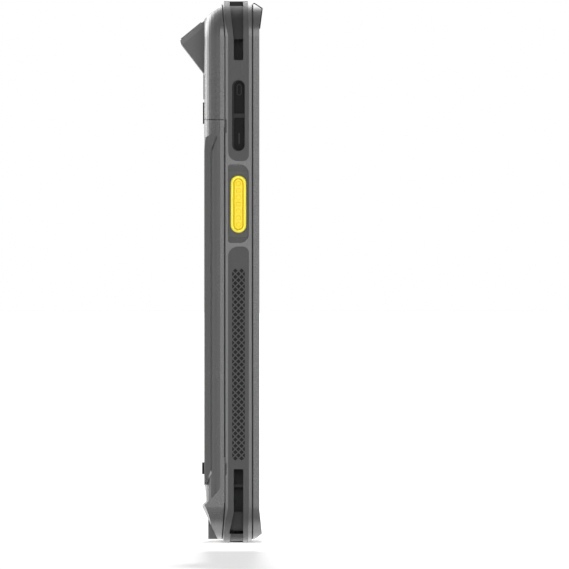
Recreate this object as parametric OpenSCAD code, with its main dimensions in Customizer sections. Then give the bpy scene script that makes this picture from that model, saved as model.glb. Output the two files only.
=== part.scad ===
// Handheld data terminal with a scanner head, upright on its lower bumper.
// X is the width, the screen faces -Y, the scanner looks back and up, and Z runs along the length.
// The datum is the middle of the flat foot of the lower bumper.

/* [Body] */
// Overall length, foot to top bumper
body_length = 168; // [158:1:184]
// Width over the side strips
body_width = 80; // [74:1:88]
// Corner radius of the front view
corner_r = 11; // [10:0.25:13]
// Datum to the front plane
front_depth = 7.4; // [6.8:0.1:8.5]
// Depth of the front bezel
bezel_depth = 1.9; // [1.7:0.1:2.4]
// Width of the sealed grooves each side of the frame
seal_gap = 0.45; // [0.35:0.05:0.7]
// Front strip of the frame, before the side panels
front_strip = 0.9; // [0.6:0.1:1.4]
// Depth of the dark side panels
panel_depth = 6.45; // [6.3:0.05:7.4]
// Rear strip of the frame, behind the side panels
rear_strip = 0.8; // [0.6:0.1:1.4]
// Depth of the rear shells behind the frame
rear_depth = 6.15; // [5.8:0.05:7.2]
// Depth of the flat sides of the rear shells, before their rounded flanks
rear_flat = 1.2; // [1:0.05:1.4]
// Slant of the flanks where they leave the flat sides, in degrees
flank_tilt = 12; // [10:1:14]
// Wall of the rear shells
shell_wall = 1.4; // [1.1:0.1:1.6]

/* [Bumpers] */
// Thickness of the soft bumpers and side panels
bumper_t = 1.4; // [1.2:0.1:1.6]
// How far the bumpers stand past the frame at each end
end_gap = 0.6; // [0.4:0.1:0.9]
// How far the rear edges flare back at the ends
end_flare = 0.9; // [0.6:0.1:1.2]
// Length of the flared ends
flare_len = 11; // [10:0.5:11.5]
// Lower end of the upper side panel, from the top
upper_panel_len = 49.7; // [48.5:0.1:50.1]
// Upper end of the trigger panel, from the top
trigger_panel_top = 50.7; // [50.5:0.1:52]
// Lower end of the trigger panel, from the top
trigger_panel_low = 75.1; // [74:0.1:75.8]
// Upper end of the lower side panel, from the top
lower_panel_top = 76.2; // [76:0.1:78]

/* [Strap slots] */
// Width of the strap channels
strap_w = 2.95; // [2.4:0.05:3.4]
// How much the channels widen towards the ends
strap_spread = 1.45; // [1:0.05:1.6]
// Depth of the channel over each corner bridge
channel_depth = 1.5; // [1.45:0.05:1.7]
// Thickness of each corner bridge
bridge_t = 1.6; // [1.3:0.1:1.8]
// Height of the passage behind each bridge
passage_h = 3; // [2.6:0.1:3.3]
// Lower end of the upper side opening, from the top
upper_slot_low = 18.4; // [18:0.1:19]
// Upper end of the upper side opening, from the top
upper_slot_high = 11.9; // [11.6:0.1:12.5]
// Upper end of the lower side opening
lower_slot_high = 22.8; // [22:0.1:24]
// Lower end of the lower side opening
lower_slot_low = 9.5; // [9:0.1:10]
// Diameter of the strap bar
strap_bar_d = 1.25; // [1:0.05:1.5]
// Height of the strap bar
strap_bar_z = 17.7; // [16:0.1:19]

/* [Grip lattice] */
// Pitch of the diamond rows and columns
lattice_pitch = 1.94; // [1.8:0.02:2.1]
// Half diagonal of a diamond
diamond_half = 0.72; // [0.55:0.01:0.8]
// Depth of the diamonds
diamond_depth = 0.9; // [0.6:0.05:1]
// Lowest diamond
lattice_low = 26.1; // [25.5:0.1:28]
// Clear panel above the top diamonds
lattice_top_margin = 5.6; // [4:0.1:8]

/* [Keys and triggers] */
// Length of the yellow scan trigger
trigger_len = 17.7; // [15:0.1:19]
// Width of the yellow scan trigger
trigger_w = 4.8; // [4:0.1:5]
// Middle of the triggers, from the top
trigger_from_top = 63.05; // [62.5:0.05:63.5]
// How far the trigger stands past the frame strips
trigger_proud = 0.4; // [0.2:0.05:0.7]
// Travel of the scan triggers
trigger_travel = 0.6; // [0.4:0.05:0.7]
// Length of the well of the two volume keys
volume_well_len = 22; // [20:0.1:23]
// Width of the volume well
volume_well_w = 3.94; // [3.6:0.02:4.2]
// Middle of the volume well, from the top
volume_from_top = 35.6; // [35:0.1:36.2]
// Length of the well of the power key
power_well_len = 13.5; // [12:0.1:15]
// Width of the power well
power_well_w = 5; // [4.6:0.05:5.2]
// Middle of the power well, from the top
power_from_top = 37.75; // [37:0.05:38.5]
// Travel of the side keys
key_travel = 0.4; // [0.3:0.05:0.5]

/* [Rear] */
// Seam between the rear housing and the battery cover, from the top
seam_from_top = 36.75; // [35.5:0.05:38]
// How far the heel's point stands behind the back plane
heel_proud = 0.6; // [0.3:0.1:1.2]
// Height of the heel's point
heel_z = 11.2; // [10:0.1:12.5]
// Slant of the battery's squared shoulders in degrees
shoulder_tilt = 25; // [22:1:26]
// Distance from the sides to the ends of the scanner hood
hood_margin = 16; // [15.5:0.5:20]
// Reach of the scanner hood behind the back plane
hood_reach = 7.6; // [6.5:0.1:8.5]
// Thickness of the bezel round the scan window
scan_bezel_t = 1.7; // [1.4:0.1:2]
// Width of the camera island
island_w = 13; // [12:0.1:13.2]
// Length of the camera island
island_len = 18.9; // [17:0.1:20]
// Width of the battery latch plate
latch_w = 14; // [11:0.5:18]
// How far the battery latch slides down to free the cover
latch_travel = 5.8; // [5.7:0.05:6.2]

/* [Hidden] */
$fn = 64;

// One overrun serves every cut
cut = 1;
// Running gap between a key and its opening
run = 0.12;
// Clearance between parts that are assembled without play
fit = 0.3;
// Clearance under a seal that only just touches
touch = 0.05;

half_w = body_width / 2;
y_front = -front_depth;
y_bezel = y_front + bezel_depth;
y_frame = y_bezel + seal_gap;
y_panel = y_frame + front_strip;
y_panel_back = y_panel + panel_depth;
y_frame_back = y_panel_back + rear_strip;
y_rear = y_frame_back + seal_gap;
y_back = y_rear + rear_depth;
y_mid = (y_panel + y_panel_back) / 2;
z_seam = body_length - seam_from_top;

// Sizes of the front bezel and its lips
bezel_inset = 0.5;
bezel_chamfer = 0.4;
lip_proud = 0.75;
lip_len = 8;
lip_slope = 2.15;
lip_drop = 0.9;
low_lip_proud = 0.8;
low_lip_z = 2.8;
low_lip_len = 7.4;
low_edge_z = 0.62;
seal_inset = 1;
insert_margin = 16;
insert_half = half_w - insert_margin;
insert_t = 0.5;
insert_proud = 0.3;
glass_margin = 5;
glass_half = half_w - glass_margin;
glass_low = 12;
glass_drop = 9.6;
glass_high = body_length - glass_drop;
glass_t = 1;
glass_sink = 0.15;
glass_r = 5;
ledge_w = 1.6;
panel_t = 1.9;
camera_d = 5;
front_camera_x = 18;
front_camera_drop = 5;
led_d = 2.4;
ear_w = 12;
ear_h = 1.3;
ear_drop = 5.2;
ear_t = 0.4;
receiver_h = 3.6;
receiver_t = 1.2;

// Sizes inside the frame
y_web = -1.4;
web_t = 1;
strap_depth = channel_depth + bridge_t + passage_h;
pocket_wall = 0.6;
pocket_half = half_w - strap_depth - pocket_wall;
pocket_low = 8.5;
pocket_high = body_length - pocket_low;
pocket_r = 3;
bay_low = 28;
bay_rim = 4;
bay_high = z_seam - bay_rim;
upper_bay_rim = 3;
upper_bay_low = z_seam + upper_bay_rim;
upper_bay_drop = 17;
upper_bay_high = body_length - upper_bay_drop;
upper_bay_half = pocket_half - upper_bay_rim;
notch_depth = 0.4;
notch_len = 4.2;
low_notch_z = 21;
low_notch_len = 3.6;
board_t = 0.8;
board_half = pocket_half - upper_bay_rim;
board_low = 21;
board_drop = 19;
board_high = body_length - board_drop;
// Shield cans: left edge, low edge, width and height, in shares of the board's half width and length
shield_shares = [[-0.7, 0.62, 0.6, 0.2], [0.1, 0.58, 0.7, 0.28], [-0.6, 0.28, 0.9, 0.22]];
shield_t = 0.6;
boss_r = 2;
speaker_w = 22;
speaker_h = 8;
speaker_t = 2.4;
motor_d = 8;
motor_t = 2.4;
screw_d = 1.6;
screw_head_d = 3.2;
screw_head_t = 0.9;
screw_edge = 4.4;
screw_x = half_w - screw_edge;
screw_low = 26;
screw_mid = body_length - trigger_panel_low - screw_head_d;
screw_drop = 21.5;
screw_zs = [screw_low, (screw_low + screw_mid) / 2, screw_mid, body_length - screw_drop];

// Sizes of the strap slots
slot_y0 = y_mid - strap_w / 2;
slot_y1 = y_mid + strap_w / 2;
slot_mouth = 5;
slot_reach = half_w - corner_r - slot_mouth;
slot_corner = 0.5;
slot_wide = slot_y1 + strap_spread;
foot_slot_low = 2.7;
foot_slot_high = 3.6;
foot_channel = 0.5;
strap_bar_inset = 2.4;
strap_bar_x = half_w - strap_bar_inset;
bar_seat = 1.2;

// Sizes of the keys
key_shift = 0.2;
key_y = y_mid - key_shift;
volume_key_margin = 0.6;
power_key_margin = 0.7;
well_depth = 0.8;
well_gap = 0.4;
key_sink = 0.45;
flange_t = 0.6;
flange_over = 0.5;
rib_w = 1.3;
dome_t = 0.5;
stem_d = 1.6;
stem_len = 0.85;
panel_skin = 0.1;
pad_proud = 0.3;
pad_inset = 1.1;
rim_w = 0.8;
rim_groove = 0.3;
dot_pitch = 2.12;
dot_d = 1.5;
dot_h = 0.24;
dot_count = 7;
scoop_depth = 0.5;
scoop_margin = 1.3;
scoop_ramp = 1.8;

// Sizes of the rear shells
rear_inset = 0.5;
rear_half = half_w - rear_inset;
top_gap = 1.9;
top_slope_drop = 5.7;
// Points of the top's slope, in shares of the rear depth and of the slope's drop
top_crest_shares = [[0.285, 0.09], [0.66, 0.47]];
y_flank = y_rear + rear_flat;
flank_depth = y_back - y_flank;
rear_round = flank_depth / (1 - sin(flank_tilt));
round_x = rear_half - rear_round * cos(flank_tilt);
slope_reach = 60;
cover_gap = 0.2;
foot_gap = 1;
heel_foot = 1.95;
heel_low_y = y_rear + heel_foot;
heel_crease_z = 19.5;
heel_dip = 0.6;
heel_dip_high = 20;
heel_dip_low = 14;
heel_reach = y_back + heel_proud;
heel_edge = 0.8;
shoulder_low = 22.5;
shoulder_drop = 9.6;
shoulder_high = z_seam - shoulder_drop;
shoulder_edge = 0.25;
groove_w = 0.5;
groove_depth = 0.35;
// Side view of the shoulder's root and top, in shares of the flank's depth: back from the flank, up
root_share = 0.49;
shoulder_top_shares = [[0.49, 0], [0.3, 0.44], [0.15, 0.83], [0.56, 1.01], [0.91, 0.82], [1, 0]];
shoulder_foot_share = 1.02;
latch_t = 1.2;
latch_proud = 0.45;
latch_up = 5.5;
latch_down = 1.15;
latch_slot = 0.2;
anchor_w = 18;
anchor_low = 21;
anchor_high = 24.6;
anchor_proud = 0.7;
port_half = 13;
port_inset = 1.2;
port_y = y_back - port_inset;
port_low = 0.84;
port_top = 1;
port_high = flare_len + port_top;
usb_w = 9;
usb_h = 3.3;
usb_wall = 0.3;
usb_depth = 7;
contact_d = 1.6;
contact_x = 7.6;
contact_pitch = 2.8;
contact_xs = [for (s = [-1, 1], i = [0, 1]) s * (contact_x + i * contact_pitch)];
battery_contact_pitch = 5.1;

// Sizes of the scanner head, in the frame of its window face
hood_w = body_width - 2 * hood_margin;
scan_top_proud = 0.75;
scan_top_drop = 6.2;
scan_tip_drop = 11.8;
hood_foot_drop = 22.6;
scan_top = [y_back + scan_top_proud, body_length - scan_top_drop];
scan_tip = [y_back + hood_reach, body_length - scan_tip_drop];
hood_foot_z = body_length - hood_foot_drop;
scan_tilt = atan2(scan_top[1] - scan_tip[1], scan_tip[0] - scan_top[0]);
scan_face = norm(scan_tip - scan_top);
tip_round = 0.9;
window_inset = 0.35;
window_t = 0.8;
window_lip = 1.2;
engine_half = 11;
engine_deep = 9.4;
engine_face = 2.1;
lens_d = 5;
aimer_d = 2;
island_edge = 2.6;
island_x = half_w - island_edge - island_w / 2;
island_drop = 20.6;
island_z = body_length - island_drop;
island_proud = 0.33;
island_depth = 3.9;
lens_seat = 1.2;
camera_rise = 3;
flash_sink = 4.4;
camera_z = island_z + camera_rise;
flash_z = island_z - flash_sink;
lens_bore = 7;
flash_bore = 3.2;

// Two-dimensional outlines swept along one axis: along_x takes (y, z), along_y (x, z), along_z (x, y)
module along_x(x0, x1) translate([x0, 0, 0]) rotate([90, 0, 90]) linear_extrude(x1 - x0) children();
module along_y(y0, y1) translate([0, y1, 0]) rotate([90, 0, 0]) linear_extrude(y1 - y0) children();
module along_z(z0, z1) translate([0, 0, z0]) linear_extrude(z1 - z0) children();

module both_sides() {
    children();
    mirror([1, 0, 0]) children();
}

// Rectangle with true arcs at its corners
module rounded(x0, x1, z0, z1, r) {
    translate([x0 + r, z0]) square([x1 - x0 - 2 * r, z1 - z0]);
    translate([x0, z0 + r]) square([x1 - x0, z1 - z0 - 2 * r]);
    for (x = [x0 + r, x1 - r], z = [z0 + r, z1 - r]) translate([x, z]) circle(r);
}

// Slot with round ends, long side along the second axis
module pill(x, z, w, len) {
    translate([x - w / 2, z - len / 2 + w / 2]) square([w, len - w]);
    for (s = [-1, 1]) translate([x, z + s * (len / 2 - w / 2)]) circle(w / 2);
}

// Rectangle with its own radius at each corner: front low, rear low, rear high, front high
module mixed_corners(y0, y1, z0, z1, r) {
    corners = [[y0, z0, 1, 1], [y1, z0, -1, 1], [y1, z1, -1, -1], [y0, z1, 1, -1]];
    difference() {
        translate([y0, z0]) square([y1 - y0, z1 - z0]);
        for (i = [0:3]) if (r[i] > 0) translate([corners[i][0], corners[i][1]])
            square(2 * r[i], center = true);
    }
    for (i = [0:3]) if (r[i] > 0)
        translate([corners[i][0] + corners[i][2] * r[i], corners[i][1] + corners[i][3] * r[i]]) circle(r[i]);
}

// Front view of the body, drawn in by an inset
module outline(inset = 0) {
    rounded(inset - half_w, half_w - inset, inset, body_length - inset, corner_r - inset);
}

// Strip that follows the outline, between two depths
module rim(depth0, depth1) {
    difference() {
        outline(depth0);
        outline(depth1);
    }
}

// Rear edge of the frame, moved back by dy, from foot to top
function back_edge(dy) = [
    [y_frame_back + dy + end_flare, 0],
    [y_frame_back + dy, flare_len],
    [y_frame_back + dy, body_length - flare_len],
    [y_frame_back + dy + end_flare, body_length]];
function backwards(list) = [for (i = [len(list) - 1:-1:0]) list[i]];

// Side views of the three dark panels
panel_flare = 1.35;
panel_lead = 0.35;
panel_knee_share = 0.48;
knee_flare_share = 0.8;
// Corner radii as shares of the panel depth: front low, rear low, rear high, front high
upper_panel_shares = [0.295, 0.465, 0, 0];
trigger_panel_shares = [0.45, 0.14, 0.14, 0.45];
lower_panel_shares = [0, 0, 0.48, 0.295];
module upper_panel() {
    low = body_length - upper_panel_len;
    knee = body_length - flare_len * panel_knee_share;
    mixed_corners(y_panel, y_panel_back, low, body_length - flare_len, upper_panel_shares * panel_depth);
    polygon([[y_panel, body_length - flare_len - cut], [y_panel_back, body_length - flare_len - cut],
        [y_panel_back, body_length - flare_len], [y_panel_back + panel_flare * knee_flare_share, knee],
        [y_panel_back + panel_flare, body_length + cut], [y_panel + panel_lead, body_length + cut],
        [y_panel, body_length - flare_len]]);
}
module trigger_panel() {
    mixed_corners(y_panel, y_panel_back, body_length - trigger_panel_low, body_length - trigger_panel_top,
        trigger_panel_shares * panel_depth);
}
module lower_panel() {
    knee = flare_len * panel_knee_share;
    high = body_length - lower_panel_top;
    mixed_corners(y_panel, y_panel_back, flare_len, high, lower_panel_shares * panel_depth);
    polygon([[y_panel, flare_len + cut], [y_panel_back, flare_len + cut], [y_panel_back, flare_len],
        [y_panel_back + panel_flare * knee_flare_share, knee], [y_panel_back + panel_flare, -cut],
        [y_panel + panel_lead, -cut], [y_panel, flare_len]]);
}

// Space that follows the outline round a corner, between two depths, within a side view
module strap_run(depth0, depth1) {
    both_sides() intersection() {
        along_y(slot_y0, slot_wide) rim(depth0, depth1);
        along_x(slot_reach, half_w + cut) children();
    }
}

// Side views of the open channels, which widen backwards towards the ends
module top_channel() {
    polygon([[slot_y0, body_length - upper_slot_low], [slot_y1, body_length - upper_slot_low],
        [slot_y1, body_length - upper_slot_high], [slot_wide, body_length + cut],
            [slot_y0, body_length + cut]]);
}
module foot_channel_view(z0) {
    polygon([[slot_y0, z0], [slot_wide, z0], [slot_y1, lower_slot_low], [slot_y1, lower_slot_high],
        [slot_y0, lower_slot_high]]);
}
module passage_view() {
    translate([slot_y0, body_length - upper_slot_low]) square([strap_w, upper_slot_low + cut]);
    translate([slot_y0, -cut]) square([strap_w, lower_slot_high + cut]);
}

// Openings that lead from the side and the end face into the passage behind the bridge
module side_opening(z0, z1, radii) {
    along_x(half_w - strap_depth, half_w + cut) mixed_corners(slot_y0, slot_y1, z0, z1, radii);
}
module end_opening(z0, z1, y1) {
    translate([slot_reach, slot_y0, z0]) cube([half_w - corner_r - slot_reach, y1 - slot_y0, z1 - z0]);
}

module strap_cuts() {
    strap_run(-cut, channel_depth) top_channel();
    strap_run(-cut, channel_depth) foot_channel_view(foot_slot_low);
    strap_run(-cut, foot_channel) foot_channel_view(-cut);
    strap_run(channel_depth + bridge_t, strap_depth) passage_view();
    both_sides() {
        side_opening(body_length - upper_slot_low, body_length - upper_slot_high,
            [slot_corner, slot_corner, 0, 0]);
        side_opening(lower_slot_low, lower_slot_high, [0, 0, slot_corner, slot_corner]);
        end_opening(body_length - strap_depth, body_length + cut, slot_wide);
        end_opening(-cut, strap_depth, slot_y1);
        translate([slot_reach, slot_y0, foot_slot_low])
            cube([half_w, strap_w, foot_slot_high - foot_slot_low]);
    }
}

// Side views of the front housing; proud lifts the top lip for the insert that lies on it
function top_lip(proud) = [
    [y_front - proud, body_length - lip_len],
    [y_front - lip_proud - proud, body_length - lip_slope - lip_drop / 4 + proud / 2],
    [y_front + 1.5 * lip_proud + bezel_chamfer, body_length - lip_drop + proud],
    [y_bezel, body_length - lip_drop + proud]];
module front_profile() {
    polygon(concat([[y_bezel, low_edge_z], [y_front - low_lip_proud, low_lip_z],
        [y_front, low_lip_z + low_lip_len]], top_lip(0)));
}

module glass_outline(inset) {
    rounded(inset - glass_half, glass_half - inset, glass_low + inset, glass_high - inset, glass_r - inset);
}

module front_housing() color("dimgray") {
    difference() {
        intersection() {
            along_y(y_front - 2 * low_lip_proud, y_bezel) outline(bezel_inset);
            along_x(-half_w, half_w) front_profile();
        }
        along_y(y_front - cut, y_front + glass_sink + glass_t) glass_outline(0);
        along_y(y_front, y_bezel + cut) glass_outline(ledge_w);
        insert_body(insert_half + touch, true);
        along_y(y_bezel - receiver_t - touch, y_bezel + cut) receiver_outline(touch);
        screw_shanks();
    }
}

module receiver_outline(gap) {
    z = body_length - ear_drop;
    translate([-ear_w / 2 - gap, z - receiver_h / 2 - gap]) square([ear_w + 2 * gap, receiver_h + 2 * gap]);
}

// Dark cap let into the top lip; as a cut it runs out past the lip's faces
module insert_body(half, as_cut) {
    along_x(-half, half) difference() {
        polygon(concat(top_lip(as_cut ? cut : insert_proud), [[y_bezel, body_length - lip_len]]));
        polygon(concat(top_lip(-insert_t), [[y_bezel, body_length - lip_len - cut],
            [y_front - cut, body_length - lip_len - cut]]));
    }
}

module top_bezel_insert() color("#1c1c1d") {
    difference() {
        insert_body(insert_half, false);
        along_y(y_front - 3 * lip_proud, y_front + 3 * lip_proud) pill_flat(ear_w, ear_h);
    }
}

module pill_flat(w, h) {
    z = body_length - ear_drop;
    translate([-w / 2 + h / 2, z - h / 2]) square([w - h, h]);
    for (s = [-1, 1]) translate([s * (w / 2 - h / 2), z]) circle(h / 2);
}

module earpiece_mesh() color("#101010") {
    along_y(y_front - lip_proud / 2, y_front - lip_proud / 2 + ear_t)
        pill_flat(ear_w - 2 * touch, ear_h - 2 * touch);
}

module earpiece_receiver() color("silver") {
    along_y(y_bezel - receiver_t, y_bezel) receiver_outline(0);
}

module display_glass() color("#0b0c0e") {
    along_y(y_front + glass_sink, y_front + glass_sink + glass_t) glass_outline(touch);
}

module display_panel() color("#202226") {
    y = y_front + glass_sink + glass_t;
    inset = ledge_w + fit;
    along_y(y, y + panel_t) rounded(inset - glass_half, glass_half - inset, glass_low + inset + fit,
        glass_high - 2 * front_camera_drop, pocket_r);
}

module front_camera() color("#111215") {
    y = y_front + glass_sink + glass_t;
    z = glass_high - front_camera_drop;
    along_y(y, y + panel_t) translate([front_camera_x, z]) circle(d = camera_d);
}

module status_led() color("#dfe6ea") {
    y = y_front + glass_sink + glass_t;
    z = glass_high - front_camera_drop;
    along_y(y, y + panel_t) translate([-front_camera_x, z]) circle(d = led_d);
}

module front_seal() color("#2a2a2b") {
    difference() {
        intersection() {
            along_y(y_bezel, y_frame) rim(seal_inset, seal_inset + bumper_t);
            translate([-half_w, y_bezel, low_edge_z])
                cube([body_width, seal_gap, body_length - lip_drop - low_edge_z]);
        }
        screw_shanks();
    }
}

// Frame: a ring with a web across it, carrying the bumpers, keys, seals and inner pieces
module mid_frame() color("gray") {
    difference() {
        intersection() {
            along_y(y_frame, y_frame_back + end_flare) outline(0);
            translate([-half_w, y_frame, end_gap])
                cube([body_width, 2 * panel_depth, body_length - 2 * end_gap]);
            along_x(-half_w, half_w) polygon(concat([[y_frame, body_length], [y_frame, 0]], back_edge(0)));
        }
        for (i = [0, 1, 2]) panel_space(i, bumper_t);
        frame_pockets();
        strap_cuts();
        key_pockets();
        screw_shanks();
        screw_heads(fit / 2, cut);
        bar_seats();
        side_notches();
    }
    board_bosses();
}

// Space that a side panel takes, as a rim of the outline within the panel's side view
module panel_space(which, t) {
    intersection() {
        along_y(y_panel - cut, y_panel_back + 2 * panel_flare) rim(-cut, t);
        along_x(-half_w - cut, half_w + cut) {
            if (which == 0) upper_panel();
            if (which == 1) trigger_panel();
            if (which == 2) lower_panel();
        }
    }
}

module frame_pockets() {
    along_y(y_frame - cut, y_web) rounded(-pocket_half, pocket_half, pocket_low, pocket_high, pocket_r);
    along_y(y_web + web_t, y_rear + 2 * end_flare)
        rounded(-pocket_half, pocket_half, bay_low, bay_high, pocket_r);
    along_y(y_web + web_t, y_rear + 2 * end_flare)
        rounded(-upper_bay_half, upper_bay_half, upper_bay_low, upper_bay_high, pocket_r);
}

module board_bosses() {
    y = board_y() + board_t;
    for (x = [-1, 1], z = [board_low + 2 * boss_r, board_high - 2 * boss_r])
        along_y(y, y_web) translate([x * (board_half - 2 * boss_r), z]) circle(boss_r);
}
function board_y() = y_web - 1.5 * shield_t - board_t;

module side_notches() {
    both_sides() for (n = [[z_seam - notch_len, notch_len], [low_notch_z, low_notch_len]])
        translate([half_w - bumper_t, y_frame_back - notch_depth, n[0]])
            cube([bumper_t + cut, notch_depth + cut, n[1]]);
}

module screw_shanks(d = screw_d) {
    for (x = [-screw_x, screw_x], z = screw_zs)
        along_y(y_bezel - bezel_depth / 2, y_frame_back) translate([x, z]) circle(d = d);
}
module screw_heads(gap, over) {
    for (x = [-screw_x, screw_x], z = screw_zs)
        along_y(y_frame_back - screw_head_t - gap, y_frame_back + over)
        translate([x, z]) circle(d = screw_head_d + 2 * gap);
}
module frame_screws() color("silver") {
    difference() {
        union() {
            screw_shanks();
            screw_heads(0, -touch);
        }
        for (x = [-screw_x, screw_x], z = screw_zs)
            along_y(y_frame_back - screw_head_t / 2, y_frame_back + cut) translate([x, z])
                circle(d = screw_d / 2, $fn = 6);
    }
}

module bar_seats() {
    both_sides() translate([strap_bar_x, slot_y0 - bar_seat, strap_bar_z]) rotate([-90, 0, 0])
        cylinder(d = strap_bar_d, h = strap_w + 2 * bar_seat);
}
module strap_bars() color("silver") bar_seats();

// Seal in the rear groove, open where the port block passes
module rear_seal() color("#2a2a2b") {
    difference() {
        intersection() {
            along_y(y_frame_back, y_rear + end_flare) rim(seal_inset, seal_inset + bumper_t);
            along_x(-half_w, half_w) polygon(concat(back_edge(0), backwards(back_edge(seal_gap - touch))));
            translate([-half_w, y_frame_back, end_gap])
                cube([body_width, rear_depth, body_length - 2 * end_gap]);
        }
        translate([-port_half - touch, y_frame_back - cut, -cut])
            cube([2 * (port_half + touch), rear_depth, port_high]);
    }
}

// Soft bumpers
module bumper_body(which) {
    difference() {
        intersection() {
            along_y(y_panel - cut, y_panel_back + 2 * panel_flare) rim(panel_skin, bumper_t);
            along_x(-half_w, half_w) {
                if (which == 0) upper_panel();
                if (which == 2) lower_panel();
            }
            translate([-half_w, y_panel - cut, 0]) cube([body_width, 2 * panel_depth, body_length]);
        }
        strap_cuts();
    }
}

module end_pad(z0, z1) {
    difference() {
        intersection() {
            translate([-half_w + corner_r, y_panel, z0])
                cube([body_width - 2 * corner_r, panel_depth + panel_flare, z1 - z0]);
            along_x(-half_w, half_w) {
                if (z0 == 0) lower_panel();
                else upper_panel();
            }
        }
        strap_cuts();
    }
}

module upper_bumper() color("#3a3b3d") {
    difference() {
        union() {
            bumper_body(0);
            end_pad(body_length - bumper_t, body_length);
        }
        mirror([1, 0, 0]) volume_cuts();
        power_cuts();
    }
}

function lattice_rows() =
    floor((body_length - lower_panel_top - lattice_top_margin - lattice_low) / lattice_pitch);
function diamond(y, z) =
    [[y - diamond_half, z], [y, z - diamond_half], [y + diamond_half, z], [y, z + diamond_half]];
function half_diamond(y, z, s) = [[y, z - diamond_half], [y + s * diamond_half, z], [y, z + diamond_half]];
lattice_cells = concat(
    [for (i = [0:lattice_rows()], s = [-0.5, 0.5])
        diamond(y_mid + s * lattice_pitch, lattice_low + i * lattice_pitch)],
    [for (i = [0:lattice_rows() - 1]) diamond(y_mid, lattice_low + (i + 0.5) * lattice_pitch)],
    [for (i = [0:lattice_rows() - 1], s = [-1, 1])
        half_diamond(y_mid + s * lattice_pitch, lattice_low + (i + 0.5) * lattice_pitch, -s)]);
lattice_y = lattice_pitch + diamond_half;
lattice_z0 = lattice_low - lattice_pitch;
lattice_z1 = lattice_low + (lattice_rows() + 1) * lattice_pitch;

// First index of each cell's points, counted after the plate's own four
function starts(cells, i = 0, at = 4) = i == len(cells) ? [] :
    concat([at], starts(cells, i + 1, at + len(cells[i])));
module lattice_plate() {
    plate = [[y_mid - lattice_y, lattice_z0], [y_mid + lattice_y, lattice_z0],
        [y_mid + lattice_y, lattice_z1], [y_mid - lattice_y, lattice_z1]];
    firsts = starts(lattice_cells);
    points = concat(plate, [for (c = lattice_cells) each c]);
    paths = concat([[0, 1, 2, 3]],
        [for (i = [0:len(lattice_cells) - 1]) [for (k = [0:len(lattice_cells[i]) - 1]) firsts[i] + k]]);
    along_x(half_w - panel_skin - diamond_depth, half_w - panel_skin) polygon(points, paths);
}

module lower_bumper() color("#3a3b3d") {
    difference() {
        union() {
            bumper_body(2);
            end_pad(0, bumper_t);
        }
        both_sides() translate([half_w - panel_skin - diamond_depth, y_mid - lattice_y, lattice_z0])
            cube([diamond_depth + cut, 2 * lattice_y, lattice_z1 - lattice_z0]);
    }
    both_sides() lattice_plate();
}

// Panel round a trigger, with a shallow scoop for the fingertip
module trigger_surround() {
    z = body_length - trigger_from_top;
    reach = trigger_len / 2 + scoop_margin;
    x = half_w - panel_skin;
    difference() {
        intersection() {
            translate([half_w - bumper_t, y_panel - cut, 0])
                cube([bumper_t - panel_skin, 2 * panel_depth, body_length]);
            along_x(0, half_w) trigger_panel();
        }
        along_x(half_w - 2 * bumper_t, half_w + cut)
            pill(y_mid, z, trigger_w + 2 * run, trigger_len + 2 * run);
        along_y(y_panel - cut, y_panel_back + cut)
            polygon([[x - scoop_depth, z - reach], [x, z - reach - scoop_ramp],
                [x + cut, z - reach - scoop_ramp],
                [x + cut, z + reach + scoop_ramp], [x, z + reach + scoop_ramp],
                    [x - scoop_depth, z + reach]]);
    }
}
module trigger_surround_right() color("#3a3b3d") trigger_surround();
module trigger_surround_left() color("#3a3b3d") mirror([1, 0, 0]) trigger_surround();

// Keys: the flange sits under the panel, the stem ends just above its switch
x_under = half_w - bumper_t;
module key_body(w, z0, z1, top_x, round_low, round_high) {
    flange_x = x_under - panel_skin - flange_t;
    z = (z0 + z1) / 2;
    along_x(flange_x + flange_t, top_x) key_outline(w, z0, z1, round_low, round_high);
    along_x(flange_x, flange_x + flange_t)
        key_outline(w + 2 * flange_over, z0 - flange_over, z1 + flange_over, round_low, round_high);
    translate([flange_x - stem_len, key_y, z]) rotate([0, 90, 0]) cylinder(d = stem_d, h = stem_len);
}
module key_outline(w, z0, z1, round_low, round_high) {
    low = round_low ? w / 2 : w / 8;
    high = round_high ? w / 2 : w / 8;
    mixed_corners(key_y - w / 2, key_y + w / 2, z0, z1, [low, low, high, high]);
}
key_x = half_w - panel_skin - key_sink;
volume_z = body_length - volume_from_top;
volume_key_w = volume_well_w - 2 * volume_key_margin;
power_z = body_length - power_from_top;
power_key_w = power_well_w - 2 * power_key_margin;
rib_low = volume_z - rib_w / 2;
rib_high = volume_z + rib_w / 2;
mark_h = 0.12;
mark_w = 0.5;
ring_r = 0.8;
outline_w = 1.5;
mark_len = 3.5;
mark_end = 2.6;

module raised_bar(z, len) along_x(key_x, key_x + mark_h) pill(key_y, z, mark_w, len);
module raised_ring(z) {
    along_x(key_x, key_x + mark_h) difference() {
        translate([key_y, z]) circle(ring_r);
        translate([key_y, z]) circle(ring_r - mark_w / 2);
    }
}
module raised_outline(z) {
    along_x(key_x, key_x + mark_h) difference() {
        pill(key_y, z, outline_w, mark_len);
        pill(key_y, z, outline_w - mark_w, mark_len - mark_w);
    }
}

module volume_up_key() color("#242526") mirror([1, 0, 0]) {
    high = volume_z + volume_well_len / 2 - well_gap;
    key_body(volume_key_w, rib_high + run, high, key_x, false, true);
    raised_outline(high - mark_end);
}
module volume_down_key() color("#242526") mirror([1, 0, 0]) {
    low = volume_z - volume_well_len / 2 + well_gap;
    key_body(volume_key_w, low, rib_low - run, key_x, true, false);
    raised_bar(low + mark_len, mark_len);
}
module power_key() color("#242526") {
    low = power_z - power_well_len / 2 + well_gap;
    high = power_z + power_well_len / 2 - well_gap;
    key_body(power_key_w, low, high, key_x, true, true);
    raised_ring(power_z);
    raised_bar(power_z + ring_r, ring_r);
}

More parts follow.
